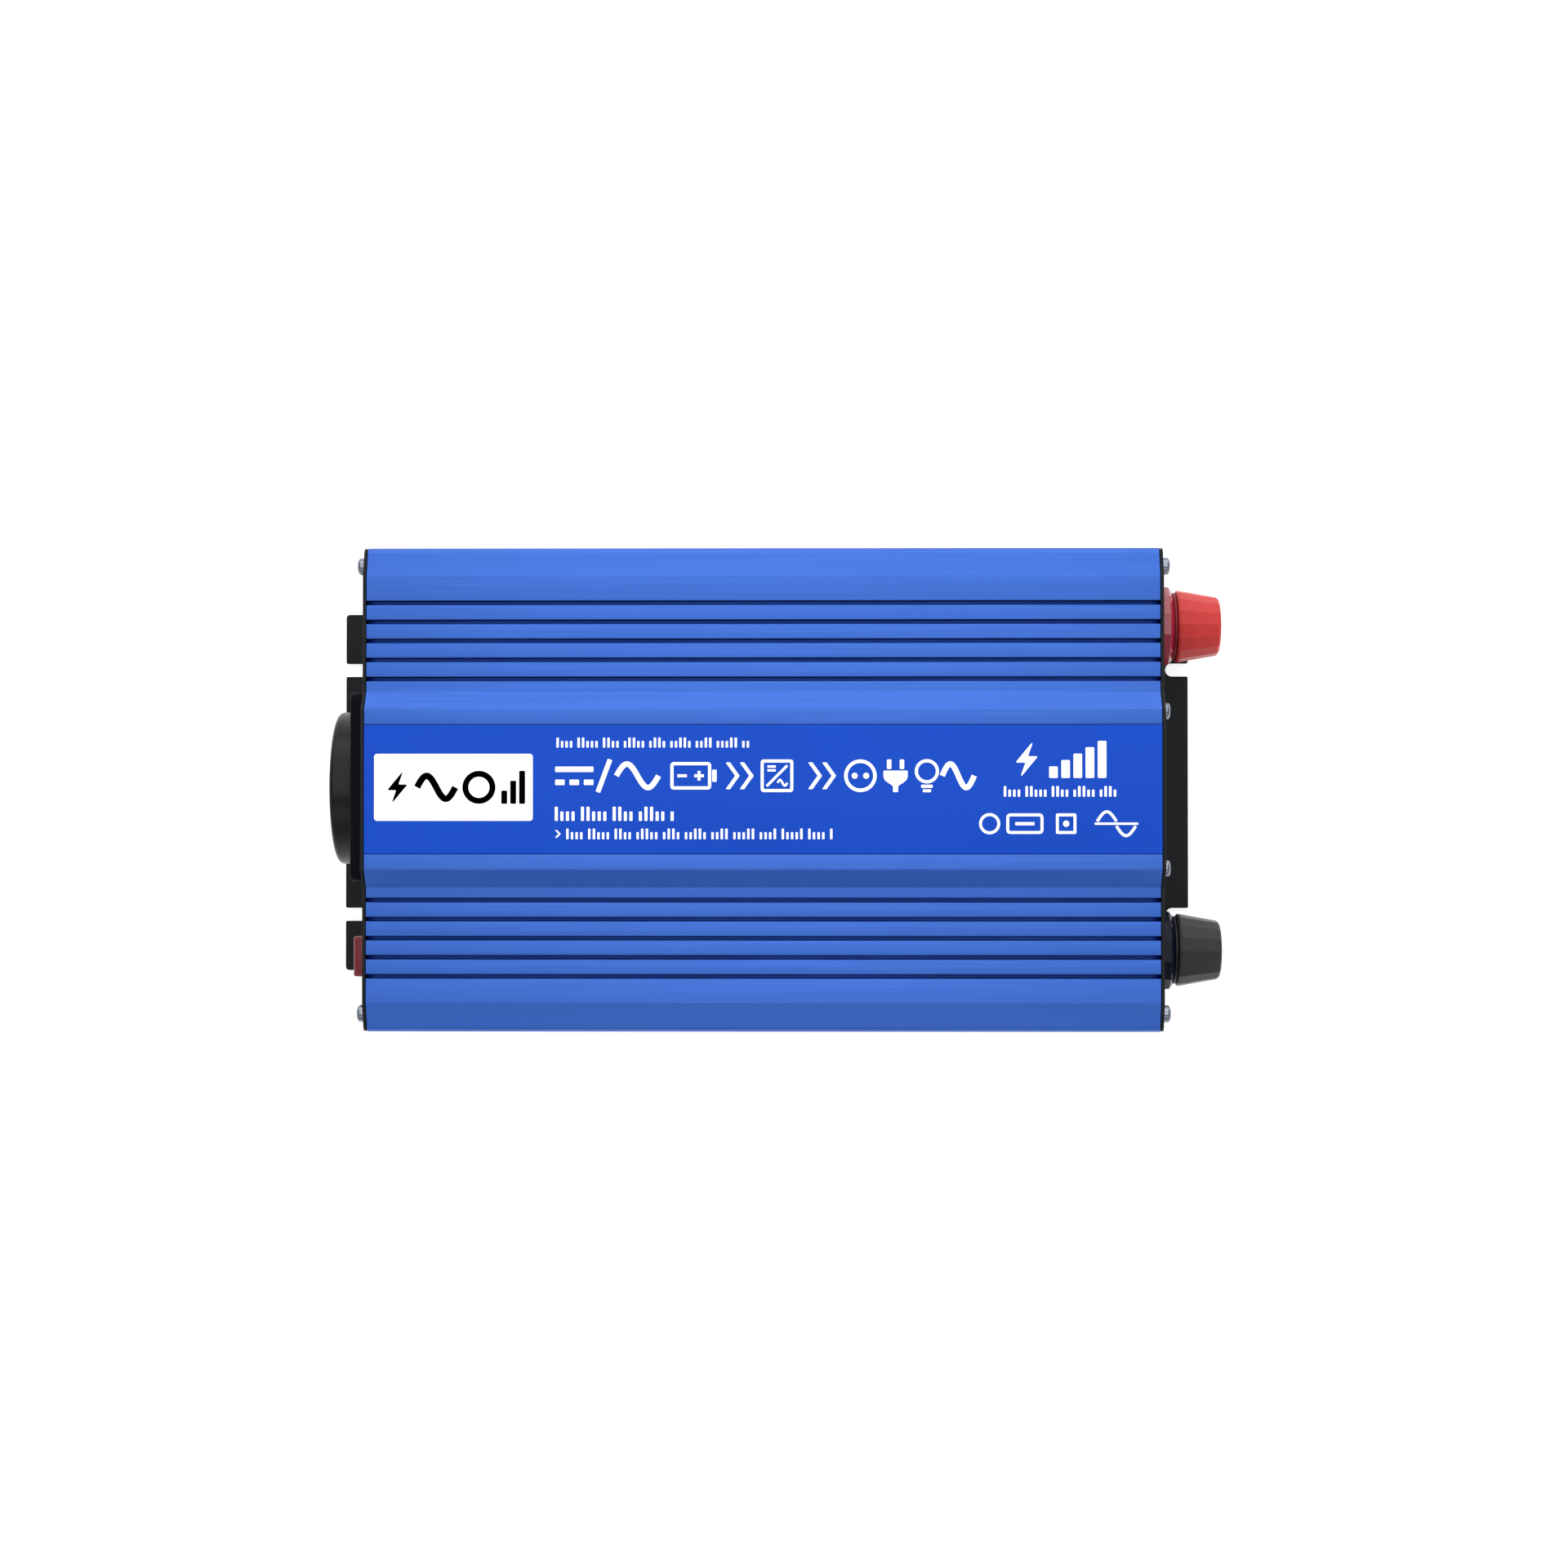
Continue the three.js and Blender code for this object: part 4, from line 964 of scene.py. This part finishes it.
def make_switch():
    """The switch's bezel and body, with three blade terminals at the back."""
    low, high = box("switch_body")
    y, _ = middle("switch_body")
    opening = rectangle(y, PANEL_Z, *SWITCH_OPENING, 0.4, 3)
    bezel_loops = [rectangle(y, PANEL_Z, *BEZEL_HALF, 1.3, 6), opening]
    bezel = sweep("bezel", bezel_loops, "X", low.x, -FACE - 0.1, 0.4, 3)
    body_loops = [rectangle(y, PANEL_Z, *SWITCH_HALF, 0.5, 3), opening]
    tube = sweep("tube", body_loops, "X", -FACE - 0.3, -FACE + TUBE_DEPTH)
    half_y, half_z = SWITCH_HALF
    rear = block("rear", (-FACE + TUBE_DEPTH - 0.1, y - half_y, PANEL_Z - half_z),
                 (-FACE + REAR_DEPTH, y + half_y, PANEL_Z + half_z), 0.3)
    tabs = []
    for z in (PANEL_Z - 6.5, PANEL_Z, PANEL_Z + 6.5):
        tabs.append(block("tab", (-FACE + 14, y - 2.4, z - 0.4), (high.x, y + 2.4, z + 0.4), 0.1))
    switch = combine(bezel, [tube, rear, *tabs], "UNION")
    pivot = rocker_pivot()
    bore = revolve("bore", [(0, -8), (1.3, -8), (1.3, 8), (0, 8)], "Y", (pivot.x, y, pivot.z), 24)
    combine(switch, [bore], "DIFFERENCE")
    switch.name = "switch_frame"
    place(switch, "case", MATT, "black_plastic", "switch_body")


def make_rocker():
    """The paddle, drawn level and then turned to its rest tilt about its pivot."""
    y, _ = middle("switch_rocker")
    pivot = rocker_pivot()
    half = [(0, -5.2, 1.5), (6.8, -3.1, 1.0), (9.75, 0, 0.8), (9.75, 6.1, 0.9), (9.2, 6.6, 0.5)]
    crest = [(u, 6.6 - 1.4 * sin(pi / 2 * (1 - u / 9.2)) ** 1.5, 0) for u in (8, 6, 4, 2)]
    right = half + crest
    outline = right + [(0, 5.2, 0)] + flipped(right[1:])
    loops = [[(u, -v) for u, v in rounded(outline, 0.5)]]
    paddle = sweep("rocker_paddle", loops, "Y", -6.5, 6.5, 0.7, 4)
    pin_profile = [(0, -7.5), (0.8, -7.5), (1, -7.3), (1, 7.3), (0.8, 7.5), (0, 7.5)]
    pins = revolve("pins", pin_profile, "Y", segments=24)
    combine(paddle, [pins], "UNION")
    tilt = Matrix.Translation((pivot.x, y, pivot.z)) @ Matrix.Rotation(radians(REST_TILT), 4, "Y")
    paddle.data.transform(tilt)
    place(paddle, "rocker", ROCKER, "clear_red", "switch_rocker")
    bar = [rectangle(0, 0, 0.4, 1.9, 0.3)]
    loop = [circle(0, 0, 1.9, 32), circle(0, 0, 1.2, 32)]
    marks = []
    for loops, z, slope in ((bar, 5.2, -9), (loop, -5.4, 9)):
        mark = sweep("mark", loops, "X", -7.0, -6.05)
        mark.data.transform(Matrix.Translation((0, 0, z)) @ Matrix.Rotation(radians(slope), 4, "Y"))
        mark.data.transform(Matrix.Translation((0.35, 0, 0)))
        marks.append(mark)
    symbols = merge("rocker_marks", marks)
    symbols.data.transform(tilt)
    place(symbols, "rocker", INK_WHITE, "clear_red")


# ---------- battery terminals ----------
def facet_radius(radius, count, softness):
    """A polygon's radius by angle, eased towards its circle by softness."""
    step = 2 * pi / count

    def at(angle):
        local = (angle + step / 2) % step - step / 2
        flat = cos(step / 2) / cos(local)
        return radius * (flat * (1 - softness) + cos(step / 4) * softness)

    return at


def facet_stack(name, profile, centre, facets, turned, softness, samples=8):
    """A faceted turning along +X: a revolve whose rings are polygons."""
    segments = facets * samples
    turn = Matrix.Rotation(turned, 4, "X")
    rows = []
    for r, along, sharp in profile:
        radius = facet_radius(max(r, 1e-4), facets, softness) if sharp else max(r, 1e-4)
        rows.append([turn @ p for p in ring(radius, along, (0, 0, 0), "X", segments)])
    obj = grid(name, rows)
    obj.data.transform(Matrix.Translation(centre))
    return obj


def cap_profile(low, high):
    """Radius, place along X and whether the ring has flats, from the cap's foot round to its bore."""
    edge = high - 0.5 - CAP_ROUNDING
    flank_end = CAP_TIP_R + 0.25
    flank = [(CAP_BASE_R + (flank_end - CAP_BASE_R) * t, low + 1.0 + (edge - low - 1.0) * t, True)
             for t in (0, 0.5, 1)]
    corner = arc(flank_end - CAP_ROUNDING, edge, CAP_ROUNDING, 20, 80, 3)
    rounding = [(r, along, True) for r, along in corner]
    dome = [(r, high - 0.5 * (r / 7.5) ** 2, False) for r in (7.0, 5.0, 3.0, 1.0, 0)]
    bore = [(0, low + 11, False), (3.4, low + 11, False), (3.4, low + 0.3, False), (3.7, low, False)]
    start = (CAP_BASE_R - 0.7, low, True)
    return [start, (CAP_BASE_R - 0.15, low + 0.3, True), *flank, *rounding, *dome, *bore, start]


def collar_profile(low, high):
    """The same for the base: a round spigot through the panel, flats, and a chamfer to its face."""
    face = FACE + 0.1
    first = (3.3, low, False)
    spigot = [(5.8, low, False), (6.0, low + 0.3, False), (6.0, face, False)]
    side = [(COLLAR_R - 0.3, face, True), (COLLAR_R, face + 0.3, True), (COLLAR_R, face + 4.75, True)]
    chamfer = [(COLLAR_R - 0.1, face + 4.95, True), (COLLAR_R - 1.3, high - 0.2, True)]
    top = [(COLLAR_R - 1.6, high, True), (3.6, high, False), (3.3, high - 0.3, False)]
    return [first, *spigot, *side, *chamfer, *top, first]


def threaded_stud(name, centre, low, high):
    """A stud with a round head at its inner end and a real screw thread."""
    start, head, segments, steps_per_turn = low + 2.5, 5.0, 36, 6
    outline = ((head - 0.3, low), (head, low + 0.3), (head, start))
    rows = [ring(r, along, centre, "X", segments) for r, along in outline]
    count = int((high - 0.6 - start) / STUD_PITCH * steps_per_turn)
    for i in range(count + 1):
        along = start + i * STUD_PITCH / steps_per_turn

        def radius(angle, along=along):
            phase = (along / STUD_PITCH - angle / (2 * pi)) % 1
            return STUD_R - 0.5 * abs(2 * phase - 1)

        rows.append(ring(radius, along, centre, "X", segments))
    rows.append(ring(2.2, high, centre, "X", segments))
    return grid(name, rows)


def make_terminal(color, cap_material, collar_material, washer_material, slot):
    """One screw terminal: base, cap, stud and washer."""
    base, grip, screw, disc = (f"terminal_{part}_{color}" for part in ("collar", "cap", "stud", "washer"))
    low, high = box(base)
    y, z = middle(base)
    centre = Vector((0, y, z))
    collar = facet_stack(f"{color}_collar", collar_profile(low.x, high.x), centre, COLLAR_FACETS, 0, 0.03)
    place(collar, "case", collar_material, slot, base, angle=18)
    low, high = box(grip)
    turn = pi / CAP_FACETS
    cap = facet_stack(f"{color}_cap", cap_profile(low.x, high.x), centre, CAP_FACETS, turn, 0.04)
    place(cap, f"{color}_cap", cap_material, slot, grip, angle=14)
    low, high = box(screw)
    place(threaded_stud(f"{color}_stud", centre, low.x, high.x), "case", BRASS, "brass", screw)
    low, high = box(disc)
    rim = high.y - y
    edge = [(3.3, low.x + 0.1), (3.4, low.x), (rim - 0.15, low.x), (rim, low.x + 0.15),
            (rim, high.x - 0.15), (rim - 0.15, high.x), (3.4, high.x), (3.3, high.x - 0.1),
            (3.3, low.x + 0.1)]
    washer = revolve(f"{color}_washer", edge, "X", centre, 64)
    place(washer, f"{color}_washer", washer_material, slot, disc)


def make_polarity_marks():
    """A plus and a minus under the terminals."""
    marks = []
    for color in ("red", "black"):
        node = f"terminal_collar_{color}"
        y, _ = middle(node)
        z = box(node)[0].z - 5.0
        marks.append([rectangle(y, z, 2.6, 0.55)])
        if color == "red":
            marks.append([rectangle(y, z, 0.55, 2.6)])
    pieces = [sweep("mark", loops, "X", FACE - 0.02, FACE + 0.05) for loops in marks]
    signs = combine(pieces[0], pieces[1:], "UNION")
    signs.name = "polarity_marks"
    place(signs, "case", INK_WHITE, "black_paint")


# ---------- fan ----------
def make_fan():
    """The fan's frame with its motor plate, struts and spindle, and the wheel on the spindle."""
    low, high = box("fan_frame")
    _, z = middle("fan_frame")
    base = low.x
    loops = [rectangle(0, z, FAN_HALF, FAN_HALF, 3.5, 6), circle(0, z, FAN_DUCT, 96), *fan_holes(z, 20)]
    shell = sweep("fan_shell", loops, "X", base, high.x, 0.4, 3)
    plate = [(0, base), (MOTOR_R - 0.4, base), (MOTOR_R, base + 0.4), (MOTOR_R, base + 2.5),
             (0, base + 2.5)]
    motor = revolve("motor", plate, "X", (0, 0, z))
    struts = []
    for angle in (45, 135):
        strut = block("strut", (base + 0.1, -29.2, -1.5), (base + 2.4, 29.2, 1.5), 0.2)
        turn = Matrix.Rotation(radians(angle), 4, "X")
        strut.data.transform(Matrix.Translation((0, 0, z)) @ turn)
        struts.append(strut)
    spindle_end = base + 9
    rod = [(0, base + 2), (SPINDLE_R, base + 2), (SPINDLE_R, spindle_end), (0, spindle_end)]
    spindle = revolve("spindle", rod, "X", (0, 0, z), 24)
    fan = combine(shell, [motor, *struts, spindle], "UNION")
    place(fan, "case", MATT, "black_plastic", "fan_frame")

    low, high = box("fan_rotor")
    bore_end, bore = spindle_end + 0.3, SPINDLE_R + 0.2
    hub_profile = [(0, bore_end), (bore, bore_end), (bore, low.x), (HUB_R - 0.2, low.x),
                   (HUB_R, low.x + 0.2), (HUB_R, high.x - 1), (HUB_R - 1, high.x), (0, high.x)]
    hub = revolve("hub", hub_profile, "X", (0, 0, z), 64)
    blades = [fan_blade(i, low.x, high.x, z) for i in range(BLADES)]
    rotor = combine(hub, blades, "UNION")
    rotor.name = "fan_wheel"
    place(rotor, "rotor", MATT, "black_plastic", "fan_rotor", angle=40)


def fan_blade(number, x0, x1, z):
    """A thin cambered blade from hub to tip that twists as it goes out."""
    rows = []
    for i in range(9):
        t = i / 8
        r = BLADE_ROOT + (BLADE_TIP - BLADE_ROOT) * t
        pitch = radians(44 - 16 * t)
        half_chord = min(6.4, (x1 - x0) / 2 / sin(radians(46)) - 1.2) + 1.2 * t
        swing = radians(360 * number / BLADES + 14 * t)
        edge = []
        for k in range(13):
            s = -1 + 2 * k / 12
            edge.append((s * half_chord, 1.1 * (1 - s * s), 0.28 * sqrt(max(0.06, 1 - s * s))))
        section = [(c, camber + thick) for c, camber, thick in edge]
        section += [(c, camber - thick) for c, camber, thick in reversed(edge)]
        row = []
        for c, h in section:
            along = c * sin(pitch) + h * cos(pitch)
            across = c * cos(pitch) - h * sin(pitch)
            angle = swing + across / r
            x = min(max((x0 + x1) / 2 + along, x0 + 0.2), x1 - 0.2)
            row.append(Vector((x, r * cos(angle), z + r * sin(angle))))
        rows.append(row)
    return grid("blade", rows)


# ---------- port and lamps ----------
def make_usb():
    low, high = box("usb_port_can")
    y, z = middle("usb_port_can")
    half_y, half_z = (high.y - low.y) / 2, (high.z - low.z) / 2
    wall = 0.4
    outside = rectangle(y, z, half_y, half_z, 0.7)
    inside = rectangle(y, z, half_y - wall, half_z - wall, 0.4)
    can = sweep("usb_shell", [outside, inside], "X", low.x, high.x - 0.3, 0.08, 1)
    back = sweep("back", [outside], "X", high.x - wall, high.x)
    combine(can, [back], "UNION")
    place(can, "case", STEEL, "bright_steel", "usb_port_can")
    dress(frame["nodes"]["usb_port_tongue"], WHITE, 0.1)


def make_lamps():
    r, collar = 2.5, 2.9
    seat = -END_X + 0.3
    for name, material, slot in (("power_lamp", LAMP_GREEN, "lamp_green"),
                                 ("fault_lamp", LAMP_RED, "lamp_red")):
        low, high = box(name)
        dome = [(r * sin(radians(t)), low.x + r - r * cos(radians(t)))
                for t in range(0, 91, 9)]
        profile = [*dome, (r, seat), (collar - 0.1, seat), (collar, seat + 0.1), (collar, seat + 1),
                   (r, seat + 1), (r, high.x), (0, high.x)]
        lens = revolve(name + "_lens", profile, "X", (0, *middle(name)), 40)
        place(lens, "case", material, slot, name)


# ---------- carried-over CAD nodes ----------
def dress(obj, material, edge=0.0):
    """Gives an object its material, and rounds its edges by `edge` millimetres."""
    obj.data.materials.clear()
    obj.data.materials.append(material)
    if edge:
        bevel = obj.modifiers.new("edges", "BEVEL")
        bevel.width = edge * MM
        bevel.segments = 2
        bevel.limit_method = "ANGLE"
        bevel.angle_limit = radians(40)


def dress_inner_parts():
    """Gives each CAD node behind the panels its material, by the start of its name."""
    inner = [
        ("socket_earth_clip", STEEL, 0.15), ("socket_contact_", BRASS, 0),
        ("terminal_nut_", STEEL, 0), ("main_board", BOARD, 0.1), ("transformer_core_", FERRITE, 0.3),
        ("transformer_winding_", TAPE, 0.6), ("input_capacitor_", SLEEVE, 0),
        ("bus_capacitor", SLEEVE, 0), ("output_choke", COPPER, 0), ("heat_bar_", MILL, 0.3),
        ("transistor_", MATT, 0.2), ("battery_lead_red", LEAD_RED, 0),
        ("battery_lead_black", LEAD_BLACK, 0), ("socket_lead_line", LEAD_RED, 0),
        ("socket_lead_neutral", LEAD_BLACK, 0),
    ]
    for prefix, material, edge in inner:
        for name, obj in frame["nodes"].items():
            if name.startswith(prefix):
                dress(obj, material, edge)
                smooth(obj)


# ---------- studio ----------
CAMERA_AT = (0.0166, -0.0131, 1.0149)
CAMERA_AIM = (0.0059, 0.0028, 0.0)
CAMERA_LENS = 68.96
HORIZON_LIGHT = 1.0
SKY_LIGHT = 0.42


def make_camera():
    data = bpy.data.cameras.new("camera")
    data.sensor_width = 36.0
    data.lens = CAMERA_LENS
    camera = link(bpy.data.objects.new("camera", data))
    at, aim = Vector(CAMERA_AT), Vector(CAMERA_AIM)
    back = (at - aim).normalized()
    right = Vector((0, 1, 0)).cross(back).normalized()
    up = back.cross(right)
    turn = Matrix((right, up, back)).transposed().to_4x4()
    camera.matrix_world = Matrix.Translation(at) @ turn
    bpy.context.scene.camera = camera


def make_floor():
    bpy.ops.mesh.primitive_plane_add(size=40, location=(0, 0, -0.0005))
    floor = bpy.context.object
    floor.name = "floor"
    material, _, _ = shader("floor_white", (0.62, 0.62, 0.62), 0.8, Specular_IOR_Level=0.1,
                            Emission_Color=(1, 1, 1, 1), Emission_Strength=0.7)
    floor.data.materials.append(material)


def softbox(name, at, aim, size, power):
    data = bpy.data.lights.new(name, "AREA")
    data.shape = "RECTANGLE"
    data.size, data.size_y = size
    data.energy = power
    lamp = link(bpy.data.objects.new(name, data))
    lamp.location = at
    lamp.rotation_euler = (Vector(aim) - Vector(at)).to_track_quat("-Z", "Y").to_euler()
    lamp.visible_camera = False


def make_world():
    """A white horizon that fades to light grey overhead."""
    world = bpy.data.worlds.new("studio")
    bpy.context.scene.world = world
    world.use_nodes = True
    tree = world.node_tree
    direction = add_node(tree, "TexCoord").outputs["Generated"]
    parts = add_node(tree, "SeparateXYZ", Vector=direction)
    strength = remap(tree, parts.outputs["Z"], HORIZON_LIGHT, SKY_LIGHT, 0.05, 0.45)
    fill(tree, tree.nodes["Background"], {"Color": (1, 1, 1, 1), "Strength": strength})


def make_studio():
    make_world()
    softbox("overhead", (0.0, 0.57, 1.66), (0, 0, 0), (2.2, 2.1), 26)
    softbox("back_light", (0.0, 1.6, 0.75), (0, 0, 0.05), (2.6, 0.9), 17)
    softbox("front_fill", (0.0, -1.09, 1.3), (0, 0, 0.05), (2.4, 0.7), 4.8)
    settings = bpy.context.scene.view_settings
    settings.view_transform = "Standard"
    settings.look = "None"


make_camera()
make_floor()
make_studio()
make_case()
make_base()
make_ac_plate()
make_dc_plate()
make_screws()
make_label()
make_socket()
make_switch()
make_rocker()
make_terminal("red", RED, COLLAR_RED, WASHER_RED, "terminal_red")
make_terminal("black", DARK, COLLAR_DARK, WASHER_DARK, "terminal_black")
make_polarity_marks()
make_fan()
make_usb()
make_lamps()
dress_inner_parts()
